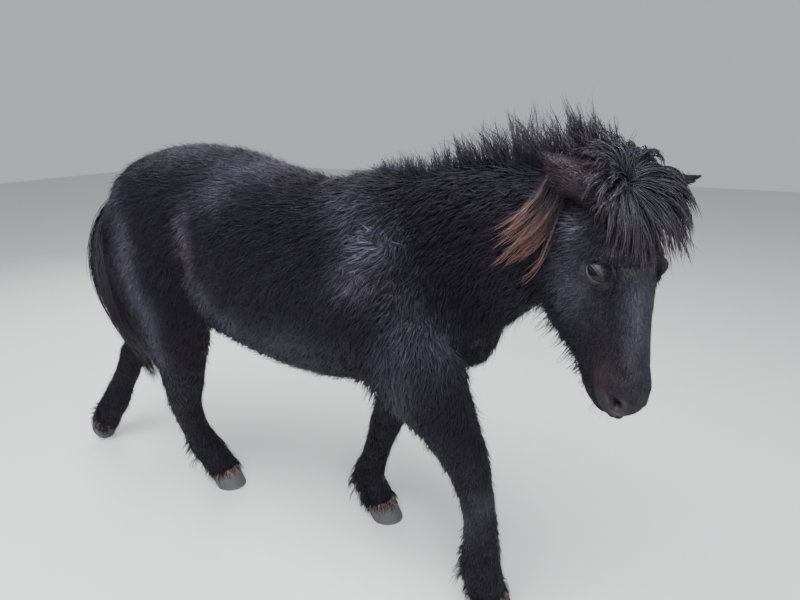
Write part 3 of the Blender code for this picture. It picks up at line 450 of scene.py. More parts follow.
def add_floor():
    """A flat square of 24 m."""
    half = 12.0
    mesh = bpy.data.meshes.new("floor")
    mesh.from_pydata([(-half, -half, 0), (half, -half, 0), (half, half, 0), (-half, half, 0)], [], [(0, 1, 2, 3)])
    mesh.materials.append(floor_finish())
    floor = bpy.data.objects.new("floor", mesh)
    bpy.context.scene.collection.objects.link(floor)


add_floor()

# %% [markdown]
# The skin is one closed surface under the whole coat. Trunk, neck and legs are tubes that run into
# one another. A voxel remesh melts them into one body, which is how a sculptor blocks out a figure.
# The tubes are drawn in by the depth of the coat, so that the fur brings the horse back to size.

# %% Meshes from arrays


def make_mesh(name, points, corners, sizes, finish=None):
    """An object from whole arrays: its points in the tables' place, the corners of all its faces
    one after another, and how many corners each face has."""
    mesh = bpy.data.meshes.new(name)
    mesh.vertices.add(len(points))
    mesh.vertices.foreach_set("co", (np.asarray(points) + SHIFT).astype(np.float32).ravel())
    mesh.loops.add(len(corners))
    mesh.loops.foreach_set("vertex_index", np.asarray(corners, np.int32).ravel())
    mesh.polygons.add(len(sizes))
    starts = np.concatenate([[0], np.cumsum(sizes)[:-1]])
    mesh.polygons.foreach_set("loop_start", starts.astype(np.int32))
    mesh.update(calc_edges=True)
    mesh.shade_smooth()
    if finish:
        mesh.materials.append(finish)
    made = bpy.data.objects.new(name, mesh)
    bpy.context.scene.collection.objects.link(made)
    return made


def tube(grid):
    """Points, corners and face sizes of a closed tube from a grid of rings, its ends capped."""
    count, sides = grid.shape[:2]
    a = (np.arange(count - 1)[:, None] * sides + np.arange(sides)).ravel()
    b = (np.arange(count - 1)[:, None] * sides + (np.arange(sides) + 1) % sides).ravel()
    quads = np.stack([a, b, b + sides, a + sides], 1).ravel()
    last = (count - 1) * sides
    corners = np.concatenate([quads, np.arange(sides)[::-1], np.arange(last, last + sides)])
    return grid.reshape(-1, 3), corners, np.array([4] * len(a) + [sides, sides])


def together(parts):
    """Several sets of points, corners and face sizes as one."""
    starts = np.cumsum([0] + [len(p) for p, _, _ in parts[:-1]])
    points = np.concatenate([p for p, _, _ in parts])
    corners = np.concatenate([c + start for (_, c, _), start in zip(parts, starts)])
    return points, corners, np.concatenate([s for _, _, s in parts])


def applied(obj):
    """The object with its modifiers made part of its mesh."""
    bpy.context.view_layer.update()
    graph = bpy.context.evaluated_depsgraph_get()
    mesh = bpy.data.meshes.new_from_object(obj.evaluated_get(graph))
    obj.modifiers.clear()
    obj.data = mesh
    return obj


def points_of(mesh):
    points = np.empty(len(mesh.vertices) * 3, np.float32)
    mesh.vertices.foreach_get("co", points)
    return points.reshape(-1, 3).astype(float)


def set_points(mesh, points):
    mesh.vertices.foreach_set("co", np.asarray(points, np.float32).ravel())
    mesh.update()


def normals_of(mesh):
    normals = np.empty(len(mesh.vertices) * 3, np.float32)
    mesh.vertex_normals.foreach_get("vector", normals)
    return normals.reshape(-1, 3).astype(float)


# %% Body tubes
COAT_DEPTH, LEG_TOP_DEPTH, LEG_FOOT_DEPTH, FACE_DEPTH, POLL_DEPTH = 0.015, 0.014, 0.006, 0.0035, 0.010
BODY_VOXEL = 0.0105


def with_egg(rows):
    return np.hstack([rows, np.zeros((len(rows), 1))]) if rows.shape[1] == 6 else rows


trunk_rows = np.array([(x, 0, (t + b) / 2, w, (t - b) / 2, (t - b) / 2) for x, t, b, w in TRUNK])
PATHS = {  # rows read at even steps, and the way that is ahead in each ring
    "trunk": (with_egg(smooth_rows(trunk_rows, 90)), (0, 0, 1)),
    "neck": (with_egg(smooth_rows(NECK, 60)), (0, 0, 1)),
    **{name: (with_egg(smooth_rows(rows, 90)), (1, 0, 0)) for name, rows in LEGS.items()},
}


def depth_along(name, rows):
    """How deep the coat is at each ring: even on trunk and neck, thinner towards a hoof."""
    if name in ("trunk", "neck"):
        return COAT_DEPTH
    return np.interp(rows[:, 2], (0.10, 0.75), (LEG_FOOT_DEPTH, LEG_TOP_DEPTH))


def body_tubes():
    made = []
    for name, (rows, front) in PATHS.items():
        turns = np.linspace(0, 2 * np.pi, 72, endpoint=False)
        made.append(tube(rings(rows, front, turns, depth_along(name, rows))))
    return together(made)


def melted(obj, voxel, rounds):
    """The object remeshed into one body of small squares, then eased."""
    skin = obj.modifiers.new("melt", "REMESH")
    skin.mode, skin.voxel_size = "VOXEL", voxel
    ease = obj.modifiers.new("ease", "SMOOTH")
    ease.factor, ease.iterations = 0.5, rounds
    return applied(obj)


body = melted(make_mesh("body", *body_tubes()), BODY_VOXEL, 10)
print("body:", len(body.data.polygons), "faces")

# %% [markdown]
# Muscles, folds and hollows are soft swellings on that body. Each is a named place, a reach along
# each axis and a height, and pushes the surface out along its normal by a bell curve. A horse is
# nearly the same on both sides, so most of them are mirrored.

# %% Muscles and folds
SWELLINGS = [  # x, y, z, reach along x, y and z, height
    (-0.115, 0.25, 1.06, 0.060, 0.10, 0.120, -0.012),
    (-0.215, 0.25, 0.86, 0.030, 0.10, 0.120, 0.010),
    (-0.150, 0.24, 0.80, 0.028, 0.10, 0.070, -0.008),
    (-0.330, 0.25, 1.16, 0.130, 0.10, 0.100, 0.007),
    (-0.560, 0.13, 0.98, 0.080, 0.10, 0.110, 0.008),
    (0.100, 0.26, 0.98, 0.160, 0.10, 0.160, 0.006),
    (0.340, 0.24, 1.06, 0.030, 0.10, 0.160, -0.005),
    (0.430, 0.23, 1.04, 0.050, 0.10, 0.130, 0.007),
    (0.590, 0.20, 1.02, 0.040, 0.10, 0.120, 0.008),
    (0.530, 0.21, 0.93, 0.020, 0.10, 0.080, -0.005),
    (0.640, 0.15, 0.80, 0.060, 0.07, 0.060, 0.008),
    (0.745, 0.15, 0.80, 0.050, 0.07, 0.060, 0.016),
]
JOINTS = [  # the knee or hock, fetlock and pastern of each leg: centre, reach, height
    ((0.830, -0.140, 0.400), 0.045, 0.004),
    ((0.392, 0.155, 0.395), 0.045, 0.004),
    ((-0.395, -0.075, 0.420), 0.035, 0.006),
    ((-0.900, 0.112, 0.465), 0.035, 0.006),
    ((0.780, -0.118, 0.330), 0.030, -0.003),
    ((0.300, 0.150, 0.270), 0.030, -0.003),
]


def bells(points, table):
    """The sum of bell curves: height times e to the minus squared distance, in reaches."""
    total = np.zeros(len(points))
    for *place, rx, ry, rz, height in table:
        away = (points - np.array(place)) / np.array((rx, ry, rz))
        total += height * np.exp(-(away**2).sum(axis=1))
    return total


def shape_body(obj):
    points = points_of(obj.data) - SHIFT
    mirrored = [(x, -y, *rest) for x, y, *rest in SWELLINGS]
    rise = bells(points, SWELLINGS) + bells(points, mirrored)
    rise += bells(points, [(*place, reach, reach, reach, height) for place, reach, height in JOINTS])
    set_points(obj.data, points + SHIFT + normals_of(obj.data) * rise[:, None])


shape_body(body)
print("muscles and folds:", 2 * len(SWELLINGS) + len(JOINTS))

# %% [markdown]
# The head needs far more care than the body, so it is a finer grid of its own, with its rows drawn
# together at the eyes and the muzzle. Bone and soft parts are swellings again, now placed by the
# head's own axes: cheek, facial crest, nose bone, nostril wings, lips and chin. The nostrils are
# deep comma-shaped pits, and the mouth is a groove that runs back along both sides.

# %% Head grid


def gathered(count, centres, width, pull):
    """count shares from 0 to 1 that crowd round the centres: even steps of the summed density."""
    t = np.linspace(0, 1, 4001)
    density = 1 + sum(pull * np.exp(-(((t - c) / width) ** 2)) for c in centres)
    total = np.cumsum(density)
    return np.interp(np.linspace(total[0], total[-1], count), total, t)


def head_rows(count):
    """Rings of the head along its length, crowded at eyes and muzzle."""
    table = np.array(HEAD)
    share = gathered(count, (0.44, 0.90), 0.12, 1.2)
    rows = smooth_rows(HEAD, place=share * (len(table) - 1))
    middle, half = (rows[:, 2] - rows[:, 3]) / 2, (rows[:, 2] + rows[:, 3]) / 2
    centres = np.array([head_point(s, m) for s, m in zip(rows[:, 0], middle)])
    return np.column_stack([centres, rows[:, 1], half, half, rows[:, 4]])


def dome(grid, steps, height):
    """Closes the last ring with rings that shrink by a cosine and rise by a sine."""
    middle = grid[-1].mean(axis=0)
    onward = unit(middle - grid[-2].mean(axis=0))
    t = np.linspace(0, np.pi / 2, steps + 1)[1:, None, None] * 0.97
    return np.concatenate([grid, middle + (grid[-1] - middle) * np.cos(t) + onward * height * np.sin(t)])


head_path = head_rows(190)
PATHS["head"] = (head_path, OUT)
head_turns = 2 * np.pi * gathered(176, (0.20, 0.80), 0.10, 1.0)[:-1]
face_inset = np.interp(head_places(head_path[:, :3])[:, 0], (0.0, 0.35), (POLL_DEPTH, FACE_DEPTH))
head_grid = dome(rings(head_path, OUT, head_turns, face_inset, 2.3), 8, 0.010)
head = make_mesh("head_skin", *tube(head_grid))
print("head:", len(head.data.polygons), "faces")

# %% Face relief
FACE = [  # share, out, left, reach along the face, out and left, height; both sides
    (0.335, -0.105, 0.090, 0.080, 0.060, 0.050, 0.009),
    (0.300, 0.040, 0.062, 0.022, 0.020, 0.020, -0.007),
    (0.250, 0.050, 0.000, 0.060, 0.020, 0.040, 0.004),
    (0.560, 0.014, 0.085, 0.060, 0.016, 0.040, 0.004),
    (0.640, -0.022, 0.075, 0.055, 0.012, 0.030, 0.005),
    (0.680, 0.040, 0.042, 0.070, 0.014, 0.016, -0.004),
    (0.700, 0.060, 0.000, 0.090, 0.020, 0.018, 0.003),
    (0.905, 0.010, 0.052, 0.026, 0.020, 0.022, 0.008),
    (0.975, 0.012, 0.020, 0.020, 0.030, 0.028, 0.005),
    (0.940, -0.078, 0.000, 0.026, 0.022, 0.030, 0.006),
    (0.830, -0.060, 0.045, 0.030, 0.016, 0.030, -0.004),
]
NOSTRIL = (0.934, 0.006, 0.034)
MOUTH_BACK, MOUTH_FRONT = (0.815, -0.047), (1.045, -0.034)


def relief(places, table):
    """Bell curves on the face, with the reach along it in metres."""
    total = np.zeros(len(places))
    for share, out, left, along, deep, wide, height in table:
        for sign in {1, -1 if left else 1}:
            away = places - np.array((share, out, sign * left))
            away = away * np.array((HEAD_LENGTH / along, 1 / deep, 1 / wide))
            total += height * np.exp(-(away**2).sum(axis=1))
    return total


def nostril_pit(places):
    """A slit that widens downwards and bends back at its top. Around is how far a point lies round
    the muzzle from it, and through how far off the surface. The pit is a steep bell of both, with a
    raised rim round it."""
    total = np.zeros(len(places))
    for sign in (1, -1):
        along = (places[:, 0] - NOSTRIL[0]) * HEAD_LENGTH
        off_out, off_left = places[:, 1] - NOSTRIL[1], places[:, 2] * sign - NOSTRIL[2]
        around, through = (off_out - off_left) * 0.707, (off_out + off_left) * 0.707
        wide = 0.0052 + 0.22 * np.clip(along, -0.015, 0.012)
        far = np.sqrt((along / 0.0135) ** 2 + ((around + 14.0 * along**2 - 0.2 * along) / wide) ** 2)
        near = np.exp(-((through / 0.016) ** 2))
        total += near * (0.0036 * np.exp(-(((far - 1.6) / 0.5) ** 2)) - 0.017 * np.exp(-(far**4)))
    return total


def mouth_line(places):
    """A groove along a straight line on each side, deepest at the lips."""
    share, out = places[:, 0], places[:, 1]
    t = (share - MOUTH_BACK[0]) / (MOUTH_FRONT[0] - MOUTH_BACK[0])
    line = MOUTH_BACK[1] + (MOUTH_FRONT[1] - MOUTH_BACK[1]) * t - 0.006 * np.sin(np.pi * np.clip(t, 0, 1))
    deep = 0.0065 * np.clip(t * 4, 0, 1) * (t > 0)
    groove = -deep * np.exp(-(((out - line) / 0.0030) ** 2))
    lips = 0.35 * deep * np.exp(-(((np.abs(out - line) - 0.010) / 0.007) ** 2))
    return groove + lips


def shape_face(obj):
    points = points_of(obj.data) - SHIFT
    places = head_places(points)
    rise = relief(places, FACE) + nostril_pit(places) + mouth_line(places)
    set_points(obj.data, points + SHIFT + normals_of(obj.data) * rise[:, None])


shape_face(head)
print("face relief:", len(FACE), "forms, nostrils and mouth")

# %% [markdown]
# An ear is a thin cup: a pointed spindle with a hollow in its open side. Seen as rings, each one is
# a crescent. Its outer wall goes round the back, and its inner wall comes home 5 mm inside it.

# %% Ears


EAR_HAIR = 0.008


def ear_frame(side):
    """Where an ear is rooted, the way it points, and the way its cup opens."""
    sign = 1 if side == "left" else -1
    outward, backward, upward = EAR_LIE[side]
    axis = unit(LEFT * sign * outward - LEVEL * backward + UP * upward)
    aside, ahead, high = EAR_OPENING[side]
    opening = LEFT * sign * aside + LEVEL * ahead + UP * high
    return head_point(EAR_SHARE, EAR_OUT, sign * EAR_SIDE), axis, unit(opening - axis * (opening @ axis))


def ear_grid(side):
    """Crescents: the angle runs round the back of the ear from edge to edge, then home inside. The
    opening widens from nothing at the root to a third of the turn at mid-ear."""
    root, axis, opening = ear_frame(side)
    across = np.cross(axis, opening)
    place = np.linspace(-0.16, 1, 46)[:, None]
    rise = np.clip((place + 0.16) / 0.5, 0, 1)
    taper = np.clip((1 - place) / 0.64, 0, 1) ** 0.72
    width = np.maximum((EAR_WIDTH - 0.002) * np.where(place < 0.36, 0.78 + 0.22 * rise, taper), 0.0018)
    gap = 1.15 * np.clip((place - 0.02) / 0.30, 0.02, 1)
    t = np.linspace(-1, 1, 34)[None]
    outer = t * (np.pi - gap)
    wall = np.minimum(EAR_WALL, 0.45 * width)

    def ring(turn, size):
        bend = 0.010 * np.sin(np.pi * np.clip(place, 0, 1))
        path = root + axis * (EAR_LENGTH - EAR_HAIR) * place[..., None] + opening * bend[..., None]
        sideways = across * (size * np.sin(turn))[..., None]
        return path + sideways - opening * (size * 0.72 * np.cos(turn))[..., None]

    return np.concatenate([ring(outer, width), ring(outer[:, ::-1], width - wall)], axis=1)


def turned_out(obj):
    """Turns a closed mesh so that its faces point outwards."""
    mesh = obj.data
    mesh.calc_loop_triangles()
    corners = np.empty(len(mesh.loop_triangles) * 3, np.int32)
    mesh.loop_triangles.foreach_get("vertices", corners)
    if np.linalg.det(points_of(mesh)[corners.reshape(-1, 3)]).sum() < 0:
        mesh.flip_normals()
    return obj


ears = [turned_out(make_mesh("ear_skin_" + side, *tube(ear_grid(side)))) for side in EAR_LIE]
print("ears:", [len(ear.data.polygons) for ear in ears], "faces")

# %% [markdown]
# Body, head and ears become one closed skin by a Boolean union, so that no seam can show. The union
# leaves a crease where they meet. Points near that crease are eased, weighted by how near they lie
# to both surfaces.

# %% One skin


def union(obj, others):
    group = bpy.data.collections.new("parts_of_skin")
    for other in others:
        bpy.context.scene.collection.objects.unlink(other)
        group.objects.link(other)
    bpy.context.scene.collection.children.link(group)
    join = obj.modifiers.new("join", "BOOLEAN")
    join.operation, join.solver, join.operand_type, join.collection = "UNION", "MANIFOLD", "COLLECTION", group
    applied(obj)
    for other in list(group.objects):
        bpy.data.objects.remove(other)
    bpy.data.collections.remove(group)
    return obj


def tree_of(obj):
    """A search tree over the object's triangles, in the model's place."""
    mesh = obj.data
    mesh.calc_loop_triangles()
    corners = np.empty(len(mesh.loop_triangles) * 3, np.int32)
    mesh.loop_triangles.foreach_get("vertices", corners)
    return BVHTree.FromPolygons(points_of(mesh).tolist(), corners.reshape(-1, 3).tolist())


def ease_crease(obj, first, second, reach, rounds):
    """Smooths the points that lie within reach of both trees."""
    weights = obj.vertex_groups.new(name="crease")
    for vertex in obj.data.vertices:
        far = max(tree.find_nearest(vertex.co, reach * 1.5)[3] or reach * 1.5 for tree in (first, second))
        if far < reach:
            weights.add([vertex.index], 1 - (far / reach) ** 2, "REPLACE")
    ease = obj.modifiers.new("ease", "SMOOTH")
    ease.factor, ease.iterations, ease.vertex_group = 0.5, rounds, "crease"
    applied(obj)
    obj.vertex_groups.clear()
    return obj


body_tree, head_tree = tree_of(body), tree_of(head)
skin = union(turned_out(body), [turned_out(head), *ears])
ease_crease(skin, body_tree, head_tree, 0.030, 18)
skin.name = "skin"
skin_tree = tree_of(skin)
print("skin:", len(skin.data.loop_triangles), "triangles")

# %% [markdown]
# A horse's eye is a dark, wet ball with a brown iris and a level pupil. Most of it lies under the
# lids. The ball is a sphere whose front swells a little, as a cornea does. Each point keeps how far
# it lies from the eye's axis and how high over it, so that the colour can draw iris and pupil.

# %% Eyes
CORNEA_RISE, CORNEA_REACH = 0.0012, 0.62
SLIT_HALF_LONG, SLIT_HALF_UP, SLIT_HALF_LOW = 0.0205, 0.0078, 0.0060


def eye_axes(sign):
    """Unit vectors of an eye: out of its socket, along its slit to the front, and across it."""
    out = unit(LEFT * sign + OUT * 0.42)
    along = DOWN * 0.76 + OUT * 0.70
    along = unit(along - out * (along @ out))
    return out, along, np.cross(out, along)


def eye_finish():
    """Near black pupil, dark brown iris and a brown white, under a clear wet coat."""
    finish = Finish("wet_eye")
    away, level, _ = finish.attribute("eye_place")
    streaks = finish.noise(900.0, 2.0)
    iris = finish.mix(streaks, (0.0020, 0.0016, 0.0022), (0.0050, 0.0036, 0.0044))
    white = finish.mix(finish.noise(300.0), (0.0032, 0.0026, 0.0032), (0.0080, 0.0062, 0.0074))
    pupil = ((away ** 2) * 5.0 + (level ** 2) * 60.0).within(0.8, 1.2)
    seen = finish.mix(pupil, (0.002, 0.002, 0.003), iris)
    colour = finish.mix(away.within(0.66, 0.76), seen, white)
    return finish.done(
        Base_Color=colour, Roughness=0.10, Specular_IOR_Level=0.16, Coat_Weight=0.25, Coat_Roughness=0.03, Coat_IOR=1.33
    )


def make_eye(side, sign, finish):
    """A sphere by two angles, its front pushed out by a bell curve of the distance from the axis."""
    out, along, across = eye_axes(sign)
    tilt = np.linspace(0.0, np.pi, 40)[:, None]
    turn = np.linspace(0, 2 * np.pi, 64, endpoint=False)[None]
    radius = EYE_RADIUS + CORNEA_RISE * np.exp(-((np.sin(tilt) / CORNEA_REACH) ** 4)) * (np.cos(tilt) > 0)
    local = np.stack([np.cos(tilt) + 0 * turn, np.sin(tilt) * np.cos(turn), np.sin(tilt) * np.sin(turn)], -1)
    grid = eye_centre(sign) + (local * radius[..., None]) @ np.array([out, along, across])
    eye = turned_out(make_mesh("eyeball_" + side, *tube(grid[1:-1]), finish))
    places = np.stack([np.sin(tilt) + 0 * turn, local[..., 2], 0 * local[..., 2]], -1)[1:-1]
    marks = eye.data.attributes.new("eye_place", "FLOAT_VECTOR", "POINT")
    marks.data.foreach_set("vector", places.reshape(-1).astype(np.float32))
    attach(eye, "root")
    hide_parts("eye_" + side)


eye_material = eye_finish()
for side, sign in (("right", -1), ("left", 1)):
    make_eye(side, sign, eye_material)
print("eyes made")

# %% [markdown]
# The lids are what gives an eye its look: a heavy upper lid with a crease over it, a thin wet rim,
# and soft skin that runs out on to the cheek. Each pair of lids is one sheet of rings round the
# slit. The first rings fold in under the rim against the ball, the next lie on the ball, and the
# last sink into the skin of the head.

# %% Lids
LID_REACH, LID_THICK, RIM = 0.034, 0.0030, 0.0012


def slit_curve(turn):
    """Along and across of the slit's edge: an ellipse with pointed corners, flatter below."""
    half = np.where(np.sin(turn) > 0, SLIT_HALF_UP, SLIT_HALF_LOW)
    rise = half * np.sign(np.sin(turn)) * np.abs(np.sin(turn)) ** 1.25
    return SLIT_HALF_LONG * np.cos(turn), rise


def lid_grid(sign):
    """Rings from the slit outwards. A ring's height over the eye's centre goes from the ball's own
    sphere, thickened, to the head's skin, by a smooth step of the distance from the slit. Creases
    are narrow bell curves of that distance, above the eye only."""
    out, along, across = eye_axes(sign)
    upper = -1.0 if (across @ DOWN) > 0 else 1.0
    turn = np.linspace(0, 2 * np.pi, 120, endpoint=False)
    edge = np.stack(slit_curve(turn), -1)
    far = np.concatenate([[0.0, 0.0], np.linspace(0, 1, 42) ** 1.3])
    circle = LID_REACH * np.stack([np.cos(turn) * 1.12, np.sin(turn)], -1)
    flat = edge[None] + (circle - edge)[None] * far[:, None, None]
    lift = np.concatenate([[-0.004, -0.0005], RIM + (LID_THICK - RIM) * np.clip(far[2:] / 0.08, 0, 1)])
    radius = EYE_RADIUS + lift[:, None]
    ball = np.sqrt(np.maximum(radius**2 - (flat**2).sum(-1), (0.25 * EYE_RADIUS) ** 2))
    centre = eye_centre(sign)
    place = centre + along * flat[..., :1] + across * (upper * flat[..., 1:])
    surface = np.empty(ball.shape)
    for index in np.ndindex(ball.shape):
        start = Vector(place[index] + SHIFT + out * 0.08)
        hit = skin_tree.ray_cast(start, Vector(-out), 0.2)[0]
        surface[index] = (np.array(hit) - place[index] - SHIFT) @ out if hit else 0.0
    share = np.clip((far - 0.10) / 0.62, 0, 1)[:, None]
    share = share * share * (3 - 2 * share)
    height = ball * (1 - share) + (surface + 0.0012) * share
    above = np.clip(np.sin(turn), 0, 1)[None] ** 0.7
    below = np.clip(-np.sin(turn), 0, 1)[None] ** 0.7
    for at, wide, deep in ((0.34, 0.060, 0.0016), (0.56, 0.06, 0.0012)):
        height -= deep * above * np.exp(-(((far[:, None] - at) / wide) ** 2))
    height -= 0.0006 * below * np.exp(-(((far[:, None] - 0.26) / 0.06) ** 2))
    height += 0.0020 * above * np.exp(-(((far[:, None] - 0.13) / 0.07) ** 2))
    clear = np.sqrt(np.maximum((EYE_RADIUS + CORNEA_RISE + 0.0008) ** 2 - (flat**2).sum(-1), 0))
    height[4:-3] = np.maximum(height, clear)[4:-3]
    height[-3:] -= np.array((0.0006, 0.0016, 0.0030))[:, None]
    return place + out * height[..., None]


def lid_sheet(sign):
    """The rings closed by a wall 1.5 mm behind them, so that the lids are a solid skin."""
    front = lid_grid(sign)
    out = eye_axes(sign)[0]
    back = front[::-1] - out * 0.0015
    return np.concatenate([front, back])


def joined_ends(grid):
    """A tube of rings whose last ring runs on into its first, so that it has no caps."""
    count, sides = grid.shape[:2]
    row, column = np.arange(count)[:, None], np.arange(sides)[None]
    a = row * sides + column
    b = row * sides + (column + 1) % sides
    c = (row + 1) % count * sides + (column + 1) % sides
    d = (row + 1) % count * sides + column
    quads = np.stack([a, b, c, d], -1).reshape(-1)
    return grid.reshape(-1, 3), quads, np.full(count * sides, 4)


lids = [turned_out(make_mesh("lids_" + side, *joined_ends(lid_sheet(sign)))) for side, sign in
        (("right", -1), ("left", 1))]
print("lids:", [len(lid.data.polygons) for lid in lids], "faces")

# %% [markdown]
# A hoof is a horn capsule: a wall that widens to the ground, longer at the toe, with fine growth
# rings, and a dished sole with a wedge-shaped frog. The wall is a grid of rings and the sole is
# rings that shrink to its middle, all one closed surface. The left hind hoof is made level, tipped
# over its toe, and worn flat where it rests.

# %% Hooves
CORONET_LONG, CORONET_WIDE, HOOF_BULGE, HEEL_SHARE, HEEL_PINCH = 0.056, 0.053, 0.02, 0.86, 0.10
TOP_SUNK = 0.0003


def hoof_grid(sole, toe_turn, coronet):
    """Rings from the middle of the top, down the wall, then in over the sole. A ring's reach and
    width run from the coronet's to the ground's, and its height slopes with the toe."""
    turn = math.radians(toe_turn)
    toe = np.array((math.cos(turn), math.sin(turn), 0))
    side = np.array((-math.sin(turn), math.cos(turn), 0))
    slope = (TOE_HEIGHT - HEEL_HEIGHT) / HOOF_LENGTH
    around = np.linspace(0, 2 * np.pi, 96, endpoint=False)
    c, s = np.cos(around), np.sin(around)
    t = np.concatenate([np.zeros(6), np.linspace(0, 1, 40), np.ones(14)])[:, None]
    size = np.concatenate([np.linspace(0.05, 0.95, 6), np.ones(40), np.linspace(0.97, 0.03, 14)])[:, None]
    bulge = 1 + HOOF_BULGE * np.sin(np.pi * t)
    ridges = 1 + 0.004 * np.sin(2 * np.pi * (t * 9 + 0.6 * t * t)) * (t > 0) * (t < 1)
    long = (CORONET_LONG * (1 - t) + HOOF_LENGTH / 2 * t) * bulge * ridges * size
    wide = (CORONET_WIDE * (1 - t) + HOOF_WIDTH / 2 * t) * bulge * ridges * size
    reach = long * c * np.where(c > 0, 1.0, HEEL_SHARE)
    across = wide * s * (1 - HEEL_PINCH * (c < 0) * c * c)
    lift = (slope * reach - TOP_SUNK) * (1 - t)
    dish = 0.007 * np.clip(1 - size / 0.86, 0, 1) ** 0.5
    frog = 0.006 * np.exp(-((across / (0.004 + 0.20 * np.clip(0.02 - reach, 0, 1))) ** 2)) * (reach < 0.02)
    lift = lift + np.where(t >= 1, np.maximum(dish - frog * (size < 0.8), 0.0), 0.0)
    middle = np.array(coronet) * (1 - t) + np.array(sole) * t
    grid = middle[:, None] + toe * reach[..., None] + side * across[..., None]
    grid[..., 2] += lift
    return grid


def tipped(grid):
    """Turned about the coronet's middle by the foot's lift, and worn flat at the floor."""
    c, s = math.cos(LIFTED_TURN), math.sin(LIFTED_TURN)
    offset = grid - np.array((0, 0, CORONET_HEIGHT))
    x, z = offset[..., 0] * c + offset[..., 2] * s, offset[..., 2] * c - offset[..., 0] * s
    turned = np.array(LIFTED_CORONET) + np.stack([x, offset[..., 1], z], -1)
    turned[..., 2] = np.maximum(turned[..., 2], 0.0)
    return turned


def horn_finish():
    """Dull horn: grey brown with upright streaks, darker bands across it and an orange-brown edge
    under the hair, dusty near the ground."""
    finish = Finish("hoof_horn")
    down, _, tilt = finish.attribute("hoof_place")
    fine = finish.noise(260.0, 4.0)
    bands = (down * 62.0 + finish.noise(30.0) * 3.0).sine() * 0.5 + 0.5
    base = finish.mix(fine, (0.036, 0.036, 0.041), (0.088, 0.087, 0.095))
    base = finish.mix(bands * 0.30, base, (0.034, 0.032, 0.034))
    base = finish.mix((1.0 - down.within(0.20, 0.42)) * 0.55, base, (0.15, 0.082, 0.045))
    base = finish.mix(down.within(0.85, 1.0) * 0.40, base, (0.15, 0.13, 0.105))
    normal = finish.bump(bands * 0.6 + fine, 0.0012, 0.7)
    return finish.done(Base_Color=base, Roughness=0.62, Normal=normal)


def make_hoof(name, grid, finish):
    count, sides = grid.shape[:2]
    hoof = turned_out(make_mesh("horn_" + name, *tube(grid), finish))
    down = np.clip((np.arange(count) - 6) / 39, 0, 1)[:, None] + np.zeros(sides)
    places = np.stack([down, np.zeros_like(down), np.zeros_like(down)], -1)
    marks = hoof.data.attributes.new("hoof_place", "FLOAT_VECTOR", "POINT")
    marks.data.foreach_set("vector", places.reshape(-1).astype(np.float32))
    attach(hoof, "root")
    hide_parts("hoof_" + name)


horn = horn_finish()
for name, sizes in HOOVES.items():
    make_hoof(name, hoof_grid(*sizes), horn)
make_hoof("hind_left", tipped(hoof_grid((TOE_LEAN, 0, 0), 0, (0, 0, CORONET_HEIGHT))), horn)
print("hooves made")

# %% [markdown]
# The winter coat is black with a cool sheen. Weather has browned it at the belly's edge, the flank
# fold, the muzzle, the ears and over the hooves. Light and shade are painted into its colour too:
# painted sheen makes it pale grey in soft bands behind the haunch, at the flank, along the back,
# shoulder and forelegs and on the face at the temple, cheek and nose, and painted shade darkens the
# deep, unlit parts and the mouth line. Skin and fur have to carry the same markings and painted light,
# so both ask the same function, which knows them as soft patches at places of the body.

# %% Markings, painted sheen and painted shade
BROWNED = [  # x, y, z, reach along x, y and z, strength; the horse is lit from its right side
    (-0.110, -0.24, 1.08, 0.030, 0.12, 0.085, 0.40),
    (-0.090, -0.24, 0.98, 0.030, 0.12, 0.080, 0.30),
    (0.060, -0.12, 0.690, 0.260, 0.12, 0.050, 0.55),
    (0.500, -0.18, 1.02, 0.060, 0.12, 0.050, 0.25),
    (-0.370, -0.24, 0.97, 0.040, 0.10, 0.120, 0.18),
    (1.035, -0.36, 1.34, 0.060, 0.05, 0.050, 0.60),
    (1.255, -0.27, 1.24, 0.045, 0.08, 0.070, 0.95),
    (0.250, -0.06, 1.28, 0.120, 0.08, 0.030, 0.30),
]
# Painted sheen: pale grey bands laid into the coat's colour where light grazes it; same columns.
PAINTED_SHEEN_BANDS = [
    (-0.480, -0.16, 1.19, 0.055, 0.09, 0.060, 0.78),
    (-0.400, -0.22, 1.10, 0.045, 0.09, 0.070, 0.78),
    (-0.370, -0.24, 1.00, 0.035, 0.09, 0.080, 0.93),
    (-0.330, -0.25, 0.90, 0.035, 0.09, 0.080, 0.93),
    (-0.290, -0.25, 0.80, 0.035, 0.09, 0.080, 0.85),
    (-0.300, -0.22, 0.68, 0.035, 0.09, 0.080, 0.70),
    (-0.110, -0.22, 1.12, 0.028, 0.09, 0.070, 0.85),
    (-0.105, -0.23, 1.02, 0.028, 0.09, 0.080, 1.00),
    (-0.050, -0.23, 0.92, 0.040, 0.09, 0.050, 0.85),
    (0.030, -0.22, 0.85, 0.060, 0.09, 0.045, 0.70),
    (-0.010, -0.18, 1.22, 0.060, 0.08, 0.050, 0.78),
    (0.060, -0.08, 1.28, 0.090, 0.08, 0.040, 0.70),
    (0.240, -0.22, 0.80, 0.170, 0.09, 0.070, 0.50),
    (0.430, -0.15, 1.20, 0.060, 0.08, 0.050, 0.62),
    (0.520, -0.18, 1.12, 0.060, 0.08, 0.060, 0.93),
    (0.480, -0.20, 1.03, 0.060, 0.08, 0.050, 0.78),
    (0.630, -0.24, 0.88, 0.060, 0.09, 0.100, 0.50),
    (0.620, -0.24, 0.74, 0.050, 0.09, 0.070, 0.46),
    (0.720, -0.17, 0.88, 0.040, 0.08, 0.090, 0.34),
    (0.400, 0.00, 1.30, 0.120, 0.10, 0.030, 0.62),
    (-0.260, -0.10, 1.33, 0.160, 0.10, 0.050, 0.39),
    (0.850, -0.15, 0.42, 0.040, 0.06, 0.050, 0.46),
    (0.790, -0.16, 0.33, 0.040, 0.06, 0.050, 0.46),
]
